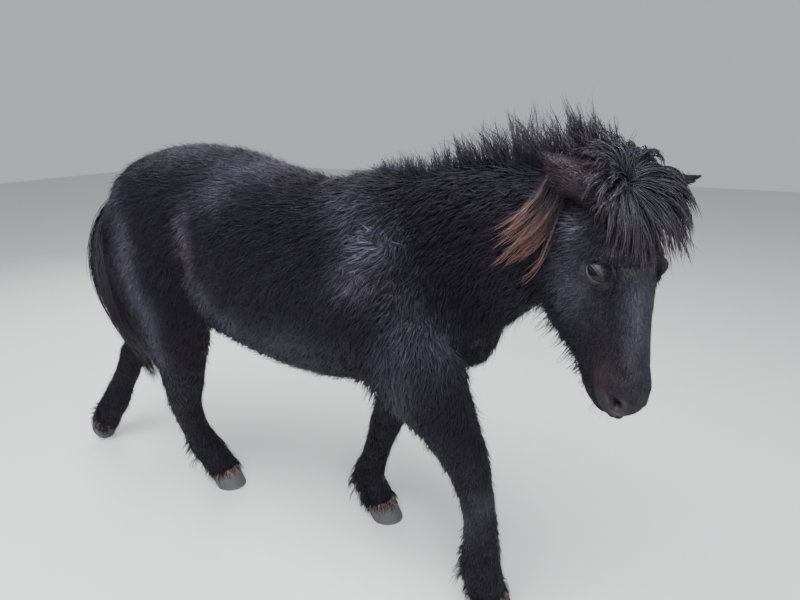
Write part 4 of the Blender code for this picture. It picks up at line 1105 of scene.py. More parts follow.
DARKENED = [  # the same rows for the deep, unlit parts of the coat
    (0.240, -0.22, 1.12, 0.130, 0.12, 0.090, 0.55),
    (-0.180, -0.23, 1.00, 0.035, 0.10, 0.200, 0.60),
    (-0.200, -0.22, 0.78, 0.040, 0.10, 0.100, 0.50),
    (-0.290, -0.20, 1.20, 0.100, 0.10, 0.050, 0.25),
    (0.700, -0.18, 1.16, 0.100, 0.12, 0.100, 0.55),
    (0.800, -0.20, 1.06, 0.080, 0.12, 0.130, 0.60),
    (0.680, -0.17, 0.98, 0.060, 0.10, 0.060, 0.35),
    (0.780, -0.16, 0.60, 0.060, 0.08, 0.100, 0.35),
    (0.400, 0.12, 0.30, 0.150, 0.12, 0.300, 0.30),
]
FACE_BROWNED = [  # share, out, left, reach along the face, out and left, strength
    (0.83, -0.015, 0.052, 0.060, 0.030, 0.030, 0.68),
    (0.47, 0.010, 0.085, 0.030, 0.020, 0.020, 0.22),
]
# Painted highlights on the face: temple, cheek, forehead, nose bridge and round the nostrils.
FACE_PAINTED_SHEEN = [
    (0.222, -0.036, 0.085, 0.026, 0.018, 0.028, 1.00),
    (0.985, 0.000, 0.034, 0.007, 0.012, 0.010, 1.00),
    (0.948, 0.014, 0.026, 0.014, 0.007, 0.010, 0.90),
    (0.925, -0.008, 0.044, 0.014, 0.006, 0.010, 0.80),
    (0.42, -0.040, 0.095, 0.070, 0.050, 0.030, 0.48),
    (0.52, -0.070, 0.085, 0.050, 0.030, 0.030, 0.45),
    (0.44, -0.015, 0.088, 0.014, 0.012, 0.020, 0.45),
    (0.60, 0.040, 0.020, 0.110, 0.020, 0.020, 0.68),
    (0.46, 0.055, 0.000, 0.060, 0.020, 0.024, 0.45),
]
# Painted shade along the groove of the mouth, on both sides.
FACE_PAINTED_SHADE = [(0.87, -0.050, 0.035, 0.040, 0.0045, 0.05, 0.9), (0.96, -0.045, 0.025, 0.040, 0.0045, 0.05, 0.9)]
CORONET_BAND = (0.055, 0.095)


def markings_and_painted_light(points):
    """How brown the coat is at each point, and how much painted sheen and painted shade lie on it, from 0 to 1."""
    places = head_places(points)
    on_face = (np.abs(places[:, 2]) < 0.14) & (places[:, 0] > 0.02) & (places[:, 0] < 1.1)
    on_face &= (places[:, 1] > -0.26) & (places[:, 1] < 0.12)
    sides = np.column_stack([points[:, 0], -np.abs(points[:, 1]), points[:, 2]])
    brown = bells(sides, BROWNED) + on_face * relief(places, FACE_BROWNED)
    # Painted sheen: pale grey where light grazes the coat.
    painted_sheen = bells(sides, PAINTED_SHEEN_BANDS) + on_face * relief(places, FACE_PAINTED_SHEEN)
    low = np.clip((CORONET_BAND[1] - points[:, 2]) / (CORONET_BAND[1] - CORONET_BAND[0]), 0, 1)
    # Painted shade: the deep, unlit parts of the coat and the mouth groove.
    dark = bells(sides, DARKENED) + on_face * relief(places, FACE_PAINTED_SHADE)
    return np.stack([np.clip(v, 0, 1) for v in (brown + 0.5 * low, painted_sheen, dark)], -1)


print("markings at the flank:", markings_and_painted_light(np.array([[-0.155, -0.24, 0.98]])).round(2))

# %% [markdown]
# Hair has a lie: it flows from the face back along the neck, down the ribs and legs, and turns in
# whorls at flank and shoulder. A groom would show it with strokes of a brush. Each stroke here has a
# place, a way, the hair's length there, how much it stands out, and how far the stroke is felt. At
# any point of the skin the strokes are blended by nearness.

# %% Brush strokes
STROKES = [  # x, y, z, way along x, y and z, length, stand, reach; on both sides of the body
    (0.46, 0.06, 1.29, -0.8, 0.5, -0.2, 0.050, 0.50, 0.12),
    (0.20, 0.08, 1.27, -1.0, 0.3, -0.1, 0.042, 0.30, 0.16),
    (-0.05, 0.08, 1.31, -1.0, 0.3, 0.0, 0.038, 0.28, 0.16),
    (-0.30, 0.08, 1.35, -1.0, 0.4, -0.1, 0.034, 0.28, 0.16),
    (-0.50, 0.08, 1.26, -0.9, 0.4, -0.5, 0.036, 0.30, 0.12),
    (0.30, 0.22, 1.15, -0.8, 0.1, -0.6, 0.046, 0.34, 0.14),
    (0.05, 0.24, 1.16, -0.8, 0.1, -0.6, 0.042, 0.30, 0.14),
    (-0.10, 0.24, 1.10, -0.6, 0.1, -0.8, 0.040, 0.30, 0.10),
    (0.25, 0.26, 0.98, -0.6, 0.0, -0.8, 0.046, 0.34, 0.14),
    (0.00, 0.26, 0.95, -0.6, 0.0, -0.8, 0.044, 0.34, 0.14),
    (0.25, 0.22, 0.80, -0.5, 0.0, -0.9, 0.054, 0.40, 0.12),
    (0.00, 0.22, 0.80, -0.5, 0.0, -0.9, 0.054, 0.40, 0.12),
    (0.25, 0.08, 0.67, -0.9, 0.3, -0.4, 0.062, 0.55, 0.12),
    (0.00, 0.08, 0.70, -0.9, 0.3, -0.4, 0.058, 0.50, 0.12),
    (-0.20, 0.10, 0.74, -0.8, 0.2, -0.5, 0.046, 0.40, 0.10),
    (-0.155, 0.23, 1.00, 0.7, 0.1, 0.5, 0.036, 0.50, 0.045),
    (-0.165, 0.23, 0.88, 0.3, 0.1, -0.9, 0.038, 0.45, 0.055),
    (-0.40, 0.23, 1.16, -0.6, 0.1, -0.7, 0.036, 0.26, 0.12),
    (-0.35, 0.25, 1.00, -0.4, 0.0, -0.9, 0.036, 0.28, 0.12),
    (-0.36, 0.25, 0.82, -0.3, 0.0, -1.0, 0.036, 0.30, 0.11),
    (-0.57, 0.12, 1.10, -0.3, 0.2, -1.0, 0.036, 0.35, 0.10),
    (-0.58, 0.10, 0.95, 0.0, 0.1, -1.0, 0.040, 0.45, 0.10),
    (-0.50, 0.16, 0.80, 0.2, 0.0, -1.0, 0.040, 0.40, 0.10),
    (0.50, 0.21, 1.20, -0.4, 0.2, -0.9, 0.050, 0.45, 0.09),
    (0.56, 0.21, 1.00, -0.4, 0.0, -0.9, 0.058, 0.50, 0.09),
    (0.44, 0.23, 0.92, -0.4, 0.0, -0.9, 0.056, 0.38, 0.10),
    (0.58, 0.20, 0.84, -0.2, 0.0, -1.0, 0.058, 0.45, 0.09),
    (0.66, 0.17, 0.72, -0.1, 0.0, -1.0, 0.050, 0.40, 0.09),
    (0.75, 0.12, 1.00, 0.1, 0.2, -1.0, 0.046, 0.30, 0.09),
    (0.80, 0.04, 0.85, -0.3, 0.2, -1.0, 0.044, 0.26, 0.09),
    (0.66, 0.04, 0.68, -0.8, 0.1, -0.5, 0.056, 0.50, 0.09),
    (0.62, 0.16, 1.24, -0.6, 0.3, -0.5, 0.054, 0.50, 0.10),
]
NECK_STROKES = [  # the neck bends to the right, so its strokes are given for each side by itself
    (0.72, -0.20, 1.22, -0.8, -0.1, -0.6, 0.054, 0.48, 0.10),
    (0.78, -0.22, 1.08, -0.7, 0.0, -0.7, 0.056, 0.48, 0.10),
    (0.88, -0.25, 1.18, -0.8, 0.1, -0.6, 0.052, 0.46, 0.09),
    (0.86, -0.17, 0.98, -0.6, 0.1, -0.8, 0.050, 0.32, 0.08),
    (0.95, -0.24, 1.06, -0.6, 0.2, -0.8, 0.050, 0.36, 0.08),
    (1.00, -0.29, 1.22, -0.8, 0.3, -0.5, 0.044, 0.42, 0.07),
    (0.74, -0.02, 1.30, -0.8, 0.5, -0.2, 0.056, 0.60, 0.08),
    (0.92, -0.10, 1.33, -0.7, 0.6, -0.2, 0.056, 0.60, 0.08),
    (0.78, 0.09, 1.15, -0.8, 0.3, -0.6, 0.054, 0.45, 0.10),
    (0.92, 0.00, 1.18, -0.7, 0.4, -0.6, 0.052, 0.45, 0.09),
    (1.05, -0.10, 1.24, -0.7, 0.5, -0.5, 0.046, 0.42, 0.08),
]
FACE_STROKES = [  # share, out, left, way down the face, out and left, length, stand, reach
    (0.00, 0.030, 0.030, 0.9, 0.2, 0.3, 0.030, 0.40, 0.05),
    (0.20, 0.050, 0.030, 1.0, 0.0, 0.2, 0.017, 0.30, 0.05),
    (0.22, 0.020, 0.090, 0.5, -0.6, 0.1, 0.019, 0.36, 0.04),
    (0.36, 0.050, 0.050, 1.0, -0.1, 0.2, 0.012, 0.26, 0.04),
    (0.55, 0.055, 0.020, 1.0, 0.0, 0.1, 0.012, 0.24, 0.06),
    (0.75, 0.050, 0.010, 1.0, 0.0, 0.1, 0.010, 0.22, 0.06),
    (0.52, 0.020, 0.085, 0.9, -0.5, 0.0, 0.014, 0.28, 0.05),
    (0.70, 0.000, 0.062, 0.9, -0.5, 0.0, 0.014, 0.30, 0.05),
    (0.33, -0.060, 0.100, 0.3, -1.0, 0.0, 0.024, 0.38, 0.06),
    (0.45, -0.060, 0.095, 0.5, -0.9, 0.0, 0.022, 0.36, 0.06),
    (0.30, -0.150, 0.090, 0.4, -1.0, 0.0, 0.034, 0.48, 0.06),
    (0.45, -0.160, 0.070, 0.5, -1.0, 0.0, 0.034, 0.52, 0.05),
    (0.60, -0.110, 0.060, 0.6, -1.0, 0.0, 0.030, 0.52, 0.05),
    (0.75, -0.080, 0.050, 0.7, -0.9, 0.0, 0.020, 0.42, 0.04),
    (0.85, 0.020, 0.045, 1.0, -0.2, 0.1, 0.007, 0.22, 0.04),
    (0.97, 0.000, 0.030, 1.0, -0.1, 0.1, 0.004, 0.20, 0.04),
    (0.92, -0.060, 0.030, 0.9, -0.3, 0.1, 0.008, 0.35, 0.03),
    (0.12, -0.080, 0.095, 0.2, -1.0, 0.0, 0.032, 0.40, 0.06),
    (0.380, 0.020, 0.085, -0.6, 0.6, -0.3, 0.0042, 0.10, 0.020),
    (0.430, -0.015, 0.088, 0.6, -0.7, 0.0, 0.0050, 0.14, 0.020),
]
LEG_LENGTHS = ((0.05, 0.030), (0.12, 0.042), (0.25, 0.036), (0.45, 0.034), (0.60, 0.042), (0.80, 0.050))
LEG_WAY, LEG_STAND, LEG_REACH = np.array((-0.15, 0.0, -1.0)), 0.30, 0.07
EAR_LENGTH_OF_HAIR, EAR_STAND = 0.011, 0.25


def stroke_table():
    """All strokes as one array: place, way, length, stand and reach."""
    rows = []
    for x, y, z, dx, dy, dz, *rest in STROKES:
        rows += [(x, y, z, dx, dy, dz, *rest), (x, -y, z, dx, -dy, dz, *rest)]
    rows += NECK_STROKES
    for share, out, left, along, deep, wide, *rest in FACE_STROKES:
        for sign in (1, -1):
            way = DOWN * along + OUT * deep + LEFT * wide * sign
            rows.append((*head_point(share, out, left * sign), *way, *rest))
    heights, lengths = zip(*LEG_LENGTHS)
    for name, stations in LEGS.items():
        for x, y, z, wide, ahead, back in smooth_rows(stations, 16):
            if z < 0.72:
                length = np.interp(z, heights, lengths)
                rows.append((x, y, z, *LEG_WAY, length, LEG_STAND, LEG_REACH))
    for side in EAR_LIE:
        root, axis, _ = ear_frame(side)
        for share in (0.15, 0.45, 0.75, 1.0):
            rows.append((*(root + axis * EAR_LENGTH * share), *axis, EAR_LENGTH_OF_HAIR, EAR_STAND, 0.035))
    return np.array(rows)


TABLE_OF_STROKES = stroke_table()
print("strokes:", len(TABLE_OF_STROKES))

# %% Reading the lie
SWIRL_PLACE, SWIRL_REACH = np.array((0.545, -0.17, 1.120)), 0.065


def lie_of_coat(points, normals):
    """Way, length and stand of the hair at each point. Weights are e to the minus squared distance
    in reaches, and the way is laid flat on the skin. Round the shoulder swirl the hair turns."""
    ways, facts = np.zeros((len(points), 3)), np.zeros((len(points), 2))
    total = np.full(len(points), 1e-9)
    table = TABLE_OF_STROKES
    for row in table:
        far = ((points - row[:3]) ** 2).sum(axis=1) / row[8] ** 2
        weight = np.exp(-far) + 1e-4 / (1 + far)
        ways += weight[:, None] * unit(row[3:6])
        facts += weight[:, None] * row[6:8]
        total += weight
    around = points - SWIRL_PLACE
    pull = 1.1 * np.exp(-((around**2).sum(axis=1)) / SWIRL_REACH**2)
    facts += pull[:, None] * total[:, None] * np.array((0.010, 0.05))
    spin = unit(np.cross(around, normals)) * 1.0 + unit(around) * 0.35
    ways = unit(ways) + spin * pull[:, None]
    ways -= normals * (ways * normals).sum(axis=1, keepdims=True)
    return unit(ways), facts / total[:, None]


def ripple(points, wave, count=7, seed=3):
    """A smooth pattern between -1 and 1: the mean of sines along random ways, of about one wave."""
    draw = np.random.default_rng(seed)
    total = np.zeros(len(points))
    for _ in range(count):
        way = unit(draw.normal(size=3)) * 2 * np.pi / (wave * draw.uniform(0.7, 1.4))
        total += np.sin(points @ way + draw.uniform(0, 2 * np.pi))
    return total / math.sqrt(count)


# %% [markdown]
# Fur is made as tufts: thin, flat spindles rooted in the skin. Each rises, leans along the lie and
# ends in a point. They are drawn evenly over the skin, close enough to overlap several times.
# Neighbours share a slow ripple in their way and their rise, so the coat falls into soft clumps.
# Each tuft keeps its place across and along the blade, for the colour of single hairs, and its own
# small patch on an unwrap of the body part it grows on.

# %% Roots of the fur
TUFTS, PIECE_TUFTS = 163400, 32500
LAYERS = ((0.006, 3.0), (0.024, 3.2), (0.036, 6.0), (0.050, 6.5))  # by length
WIDTH_BASE, WIDTH_SHARE = 0.0011, 0.066


def width_of(length):
    return WIDTH_BASE + WIDTH_SHARE * length


def triangle_arrays(mesh):
    """Triangle corners of a mesh in the tables' place, and the normals there."""
    mesh.calc_loop_triangles()
    corners = np.empty(len(mesh.loop_triangles) * 3, np.int32)
    mesh.loop_triangles.foreach_get("vertices", corners)
    corners = corners.reshape(-1, 3)
    return (points_of(mesh) - SHIFT)[corners], normals_of(mesh)[corners]


def eye_places(points, sign):
    """Points by an eye's axes: along the slit, across it towards the upper lid, and out."""
    out, along, across = eye_axes(sign)
    upper = -1.0 if (across @ DOWN) > 0 else 1.0
    return (points - eye_centre(sign)) @ np.array([along, across * upper, out]).T


def furry_arrays():
    """The skin away from the eyes, and the outer face of the lids beyond their rims."""
    corners, normals = triangle_arrays(skin.data)
    keep = np.ones(len(corners), bool)
    found = []
    for lid, sign in zip(lids, (-1, 1)):
        place = eye_places(corners.mean(axis=1), sign)
        keep &= ~((np.hypot(place[:, 0] / 1.12, place[:, 1]) < LID_REACH * 0.88) & (place[:, 2] > -0.03))
        lid_corners, lid_normals = triangle_arrays(lid.data)
        place = eye_places(lid_corners.mean(axis=1), sign)
        half = np.where(place[:, 1] > 0, SLIT_HALF_UP, SLIT_HALF_LOW)
        past = np.hypot(place[:, 0] / SLIT_HALF_LONG, place[:, 1] / half) > 1.75
        ahead = lid_normals.mean(axis=1) @ eye_axes(sign)[0] > 0.05
        found.append((lid_corners[past & ahead], lid_normals[past & ahead]))
    corners, normals = zip((corners[keep], normals[keep]), *found)
    return np.concatenate(corners), np.concatenate(normals)


def nearest_parts(points):
    """For each point the body part that it is on, its share along that part and its turn round it:
    the nearest ring centre, by distance in ring sizes."""
    best = np.full(len(points), 1e9)
    part, share, turn = (np.zeros(len(points)) for _ in range(3))
    for number, (rows, front) in enumerate(PATHS.values()):
        _, ahead, side = frames(rows[:, :3], front)
        for k in range(0, len(rows), 3):
            offset = points - rows[k, :3]
            size = rows[k, 3] + 0.5 * (rows[k, 4] + rows[k, 5])
            far = np.sqrt((offset**2).sum(axis=1)) / size
            closer = far < best
            best[closer], part[closer], share[closer] = far[closer], number, k / (len(rows) - 1)
            turn[closer] = np.arctan2(offset[closer] @ side[k], offset[closer] @ ahead[k]) / (2 * np.pi) + 0.5
    return part.astype(int), share, turn


def bare_places(points):
    """Where no hair grows: in and round the nostrils."""
    places = head_places(points)
    places[:, 2] = np.abs(places[:, 2])
    away = (places - np.array(NOSTRIL)) * np.array((HEAD_LENGTH / 0.019, 1 / 0.013, 1 / 0.013))
    return (away**2).sum(axis=1) < 1


def draw_roots():
    """Points spread evenly over the skin: the running total of area times density is cut into equal
    steps, one root falls in each, and lands at a random place of its triangle."""
    corners, normals = furry_arrays()
    middles, facing = corners.mean(axis=1), unit(normals.mean(axis=1))
    area = np.linalg.norm(np.cross(corners[:, 1] - corners[:, 0], corners[:, 2] - corners[:, 0]), axis=1) / 2
    _, facts = lie_of_coat(middles, facing)
    layers = np.interp(facts[:, 0], *zip(*LAYERS)) * np.where(middles[:, 2] < 0.62, 0.62, 1.0)
    density = layers / (facts[:, 0] * width_of(facts[:, 0]))
    density[(middles[:, 2] < 0.05) | bare_places(middles)] = 0
    total = np.cumsum(area * density)
    print("tufts that full cover would take:", int(total[-1]))
    steps = (np.arange(TUFTS) + DRAW.uniform(0, 1, TUFTS)) / TUFTS * total[-1]
    chosen = np.minimum(np.searchsorted(total, steps), len(area) - 1)
    a, b = DRAW.uniform(0, 1, (2, TUFTS))
    fold = a + b > 1
    a, b = np.where(fold, 1 - a, a)[:, None], np.where(fold, 1 - b, b)[:, None]
    place = corners[chosen, 0] * (1 - a - b) + corners[chosen, 1] * a + corners[chosen, 2] * b
    normal = normals[chosen, 0] * (1 - a - b) + normals[chosen, 1] * a + normals[chosen, 2] * b
    return place, unit(normal)


roots, root_normals = draw_roots()
print("roots of fur:", len(roots))

# %% Tufts
STATIONS, SINK, PATCH, GUARD_SHARE = np.array([0.0, 0.40, 1.0]), 0.003, 0.003, 0.24
SPINDLE = np.array([(0, 2, 1), (0, 3, 2), (0, 1, 3), (1, 2, 4), (2, 3, 4), (3, 1, 4)])


def tuft_arrays(place, normal, patch):
    """Points, strand marks, map and tint of many tufts. The middle line of a tuft is its root, plus
    way times t, plus normal times rise (1.9 t - 0.9 t squared), plus a sideways curl times t
    squared. It starts in a point, is widest at its ring of three, and ends in a point."""
    count = len(place)
    way, facts = lie_of_coat(place, normal)
    side = np.cross(normal, way)
    stray = 0.15 * ripple(place, 0.070, seed=5) + 0.12 * ripple(place, 0.024, seed=6)
    stray = stray + DRAW.normal(0, 0.15, count)
    guard = DRAW.uniform(0, 1, count) < GUARD_SHARE
    way = unit(way + side * stray[:, None])
    side = np.cross(normal, way)
    length = facts[:, 0] * (1 + 0.14 * ripple(place, 0.060, seed=7)) * DRAW.uniform(0.75, 1.3, count)
    length *= np.where(guard, 1.22, 1.0)
    stand = facts[:, 1] * (1 + 0.30 * ripple(place, 0.036, seed=8)) * DRAW.uniform(0.5, 1.3, count)
    stand = np.minimum(np.clip(stand * np.where(guard, 1.9, 0.80), 0.05, 0.85), 0.050 / length)
    width = width_of(facts[:, 0]) * DRAW.uniform(0.65, 1.35, count) * np.where(guard, 0.42, 1.05)
    curl = DRAW.normal(0, 0.12, count) + 0.15 * ripple(place, 0.040, seed=9)
    run = np.sqrt(np.clip(1 - stand**2 * 0.8, 0.1, 1))[:, None] * length[:, None] * STATIONS
    rise = (stand * length)[:, None] * (1.9 * STATIONS - 0.9 * STATIONS**2) * 0.55 - SINK * (1 - STATIONS) ** 3
    bend = (curl * length)[:, None] * STATIONS**2
    middle = place[:, None] + way[:, None] * run[..., None] + normal[:, None] * rise[..., None]
    middle += side[:, None] * bend[..., None]
    half = width[:, None] * 0.5
    low = middle[:, 1] - normal * half * 0.10
    ring = np.stack([low - side * half, middle[:, 1] + normal * half * 0.30, low + side * half], 1)
    points = np.concatenate([middle[:, :1], ring, middle[:, 2:]], axis=1)
    mark = np.zeros((count, 5, 3))
    mark[:, 1:4, 0] = [-1.0, 0.0, 1.0]
    mark[:, :, 1] = [0, 0.4, 0.4, 0.4, 1.0]
    mark[:, :, 2] = DRAW.uniform(0, 1, count)[:, None]
    flat = np.stack([mark[..., 0], mark[..., 1] * 2 - 1], -1) * PATCH / 2
    return points, mark, patch[:, None] + flat, np.repeat(markings_and_painted_light(place)[:, None], 5, axis=1)


def coat_mesh(name, arrays, faces, finish):
    """Many like strands as one piece, with their marks, tint and the map for baking."""
    points, mark, flat, tint = arrays
    points[..., 2] = np.maximum(points[..., 2], 0.001)
    count, per = points.shape[:2]
    corners = (np.arange(count)[:, None, None] * per + faces[None]).reshape(-1)
    made = make_mesh(name, points.reshape(-1, 3), corners, np.full(count * len(faces), 3), finish)
    mesh = made.data
    strand = mesh.attributes.new("strand", "FLOAT_VECTOR", "POINT")
    strand.data.foreach_set("vector", mark.reshape(-1).astype(np.float32))
    colour = mesh.attributes.new("tint", "FLOAT_VECTOR", "POINT")
    colour.data.foreach_set("vector", tint.reshape(-1).astype(np.float32))
    layer = mesh.uv_layers.new(name="OFBake")
    layer.data.foreach_set("uv", flat.reshape(-1, 2)[corners].reshape(-1).astype(np.float32))
    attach(made, "root")
    return made


# %% [markdown]
# Black hair isn't flat black: it has a cool gloss along each strand, darker gaps between strands and
# brown, sun-bleached tips. The colour follows the strand marks: fine lines across the blade, darker
# at the root and paler at the tip, with a little difference from tuft to tuft. Painted sheen from the
# markings turns it pale grey in places, and painted shade darkens it. The same finish serves fur and
# long hair, with other numbers.

# %% Hair finish


def hair_finish(name, dark, light, tip, lines, brown_tips, rough, tips_from, gloss=0.30):
    """Lines across the blade are a sine of its across mark. Tips turn brown past tips_from. Painted shade darkens the
    colour and painted sheen mixes in pale grey.
    """
    finish = Finish(name)
    across, along, chance = finish.attribute("strand")
    brown, painted_sheen, deep = finish.attribute("tint")
    line = (across * lines + chance * 40.0).sine() * 0.5 + 0.5
    slow = finish.noise(7.0, 2.0).within(0.35, 0.65)
    pale = (along.within(0.05, 0.9) * 0.55 + line * 0.20 + chance * 0.25) * (slow * 0.35 + 0.65)
    # Painted shade darkens the pale share; painted sheen then mixes in pale grey.
    colour = finish.mix(pale * (1.0 - deep * 0.85), dark, light)
    colour = finish.mix(painted_sheen * (along * 0.45 + chance * 0.45 + 0.1), colour, PAINTED_SHEEN_COLOUR)
    worn = along.within(tips_from, 1.0) * (chance * 0.6 + 0.4) * brown_tips
    colour = finish.mix(worn + brown * (along * 0.5 + 0.2), colour, tip)
    normal = finish.bump(line, 0.0005, 0.4)
    return finish.done(
        Base_Color=colour, Roughness=rough, Normal=normal, Sheen_Weight=0.03, Sheen_Roughness=0.5,
        Sheen_Tint=(0.62, 0.58, 0.90, 1.0), Specular_IOR_Level=gloss,
    )


# The first colour is the pale grey of painted sheen; the others are the browns of worn tips and ends.
PAINTED_SHEEN_COLOUR, FUR_TIP = (0.105, 0.096, 0.135), (0.060, 0.027, 0.024)
LOCK_TIP, TRESS_END = (0.090, 0.036, 0.026), (0.210, 0.092, 0.066)
fur = hair_finish(
    "winter_fur", (0.0022, 0.0017, 0.0030), (0.0180, 0.0148, 0.0230), FUR_TIP, 9.0, 0.10, 0.62, 0.5, 0.12
)
long_hair = hair_finish("long_hair", (0.0022, 0.0018, 0.0028), (0.040, 0.035, 0.050), LOCK_TIP, 3.0, 0.24, 0.40, 0.55)
tail_finish = hair_finish("tail_hair", (0.0020, 0.0017, 0.0025), (0.018, 0.015, 0.021), LOCK_TIP, 3.0, 0.10, 0.42, 0.6, 0.20)
tress_finish = hair_finish("tress_hair", (0.0035, 0.0025, 0.0032), (0.070, 0.050, 0.060), TRESS_END, 3.0, 0.90, 0.42, 0.30)


def skin_finish():
    """Dark skin under the fur, pebbled finely, with the coat's markings, painted sheen and painted shade."""
    finish = Finish("dark_skin")
    brown, painted_sheen, deep = finish.attribute("tint")
    fine = finish.noise(420.0, 3.0)
    colour = finish.mix(fine, (0.004, 0.0034, 0.0048), (0.012, 0.010, 0.015))
    colour = finish.mix(brown * 0.6, colour, (0.035, 0.019, 0.018))
    # Painted sheen lightens and painted shade darkens the skin, as on the fur.
    colour = finish.mix(painted_sheen * 0.7, colour, (0.065, 0.057, 0.064))
    colour = finish.mix(deep * 0.9, colour, (0.002, 0.0017, 0.0022))
    normal = finish.bump(fine * 0.6 + finish.noise(90.0, 2.0), 0.0009, 0.6)
    return finish.done(Base_Color=colour, Roughness=0.5, Normal=normal, Specular_IOR_Level=0.25)


def mark_skin(piece):
    """Gives a skin piece the coat's markings, painted sheen and painted shade."""
    tint = markings_and_painted_light(points_of(piece.data) - SHIFT)
    marks = piece.data.attributes.new("tint", "FLOAT_VECTOR", "POINT")
    marks.data.foreach_set("vector", tint.reshape(-1).astype(np.float32))
    piece.data.materials.clear()
    piece.data.materials.append(dark_skin)
    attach(piece, "root")


dark_skin = skin_finish()
for piece in (skin, *lids):
    mark_skin(piece)
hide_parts("torso", "neck", "head", "ear_left", "ear_right", *LEGS)

# %% The coat, piece by piece
COAT_PIECES = {
    "fur_trunk": ("trunk",),
    "fur_neck": ("neck",),
    "fur_forelegs": ("foreleg_right", "foreleg_left"),
    "fur_hindlegs": ("hindleg_right", "hindleg_left"),
    "fur_head": ("head",),
}


def patches(part, share, turn, parts):
    """Where each root lies on the unwrap of its own parts: share along, and turn round, in bands."""
    names = list(PATHS)
    band = sum((part == names.index(name)) * number for number, name in enumerate(parts))
    low, high = share.min(), share.max()
    jitter = DRAW.uniform(-0.012, 0.012, (2, len(part)))
    spread = np.stack([(share - low) / (high - low) + jitter[0], (turn + band) / len(parts) + jitter[1]], -1)
    return 0.015 + 0.97 * np.clip(spread, 0, 1)


def make_coat():
    """Sorts the roots by body part and share along it, into pieces of a size that a file can hold."""
    part, share, turn = nearest_parts(roots)
    names = list(PATHS)
    for name, parts in COAT_PIECES.items():
        on = np.flatnonzero(np.isin(part, [names.index(p) for p in parts]))
        on = on[np.argsort(share[on], kind="stable")]
        for number, pick in enumerate(np.array_split(on, -(-len(on) // PIECE_TUFTS))):
            patch = patches(part[pick], share[pick], turn[pick], parts)
            arrays = tuft_arrays(roots[pick], root_normals[pick], patch)
            coat_mesh(f"{name}_{number + 1}", arrays, SPINDLE, fur)
            print(name, number + 1, len(pick), "tufts,", len(SPINDLE) * len(pick), "triangles")


make_coat()

# %% [markdown]
# Mane, forelock, beard, tail and feathers are long hair. A groom sees it as clumps, and so does this
# file: each clump has one guide, a path that leaves the skin one way and ends another way, and is
# laid over the head where it would pass through it. A dozen strands follow each guide and draw
# together towards its tip. A strand is a thin three-sided tube that narrows to a point.

# %% Guides of long hair


def hung(start, first, last, length, count=11):
    """Paths from their starts: the way turns from first to last by a smooth step of the length."""
    t = (np.arange(count - 1) + 0.5) / (count - 1)
    turn = (t * t * (3 - 2 * t))[None, :, None]
    ways = unit(unit(first)[:, None] * (1 - turn) + unit(last)[:, None] * turn)
    steps = ways * (np.asarray(length)[:, None, None] / (count - 1))
    return start[:, None] + np.concatenate([0 * steps[:, :1], np.cumsum(steps, axis=1)], axis=1)


def draped(paths, lift):
    """Paths moved out of the skin: a point that lies nearer than lift times its share of the path
    goes out along the skin's normal. The path is then eased by its neighbours."""
    for guide, high in zip(paths, np.broadcast_to(lift, len(paths))):
        for _ in range(2):
            for k in range(1, len(guide)):
                place, normal, _, far = skin_tree.find_nearest(Vector(guide[k] + SHIFT), 0.12)
                if place is None:
                    continue
                off = np.array(Vector(guide[k] + SHIFT) - place)
                depth = off @ np.array(normal)
                need = high * min(1.0, 3.0 * k / len(guide))
                if depth < need and (depth > -0.08):
                    guide[k] += np.array(normal) * (need - depth)
            guide[2:-1] = (guide[1:-2] + 2 * guide[2:-1] + guide[3:]) / 4
    return paths


def trimmed(paths, floors):
    """Paths cut short along their own curve, where they would end lower than their floor."""
    steps = np.arange(paths.shape[1])
    for path, low in zip(paths, floors):
        if path[-1, 2] < low:
            share = max((path[0, 2] - low) / (path[0, 2] - path[-1, 2]), 0.3)
            path[:] = np.stack([np.interp(steps * share, steps, path[:, k]) for k in range(3)], -1)
    return paths


def rooted(starts, towards):
    """Points where rays from the starts meet the skin, the normals there, and which rays met it."""
    places, normals, met = [], [], []
    for start, way in zip(starts, np.broadcast_to(towards, starts.shape)):
        place, normal, _, _ = skin_tree.ray_cast(Vector(start + SHIFT), Vector(unit(way)), 1.0)
        met.append(place is not None)
        places.append(np.array(place) - SHIFT if place is not None else start)
        normals.append(np.array(normal) if place is not None else -unit(way))
    return np.array(places), np.array(normals), np.array(met)


# %% Strands


def strands_of(guides, per, at_root, at_tip, wave=0.004, shortest=0.70):
    """Strands round their guides. A strand's offset is a random vector whose size goes from at_root
    to at_tip, plus a slow wave that grows along it. It reads its guide up to its own length."""
    clumps, count = guides.shape[:2]
    total = clumps * per
    t = np.linspace(0, 1, count)
    reach = DRAW.uniform(shortest, 1.06, (total, 1)) * t * (count - 1)
    low = np.clip(reach.astype(int), 0, count - 2)
    own = np.repeat(np.arange(clumps), per)[:, None]
    part = (reach - low)[..., None]
    middle = guides[own, low] * (1 - part) + guides[own, low + 1] * part
    ball = DRAW.normal(0, 1, (total, 1, 3)) * 0.6
    size = (at_root + (at_tip - at_root) * t**0.8)[None, :, None]
    phase, pace = DRAW.uniform(0, 2 * np.pi, (total, 1)), DRAW.uniform(0.8, 2.0, (total, 1))
    sway = np.sin(2 * np.pi * pace * t + phase)[..., None] * DRAW.normal(0, 1, (total, 1, 3))
    return middle + ball * size + sway * wave * t[None, :, None] ** 1.3


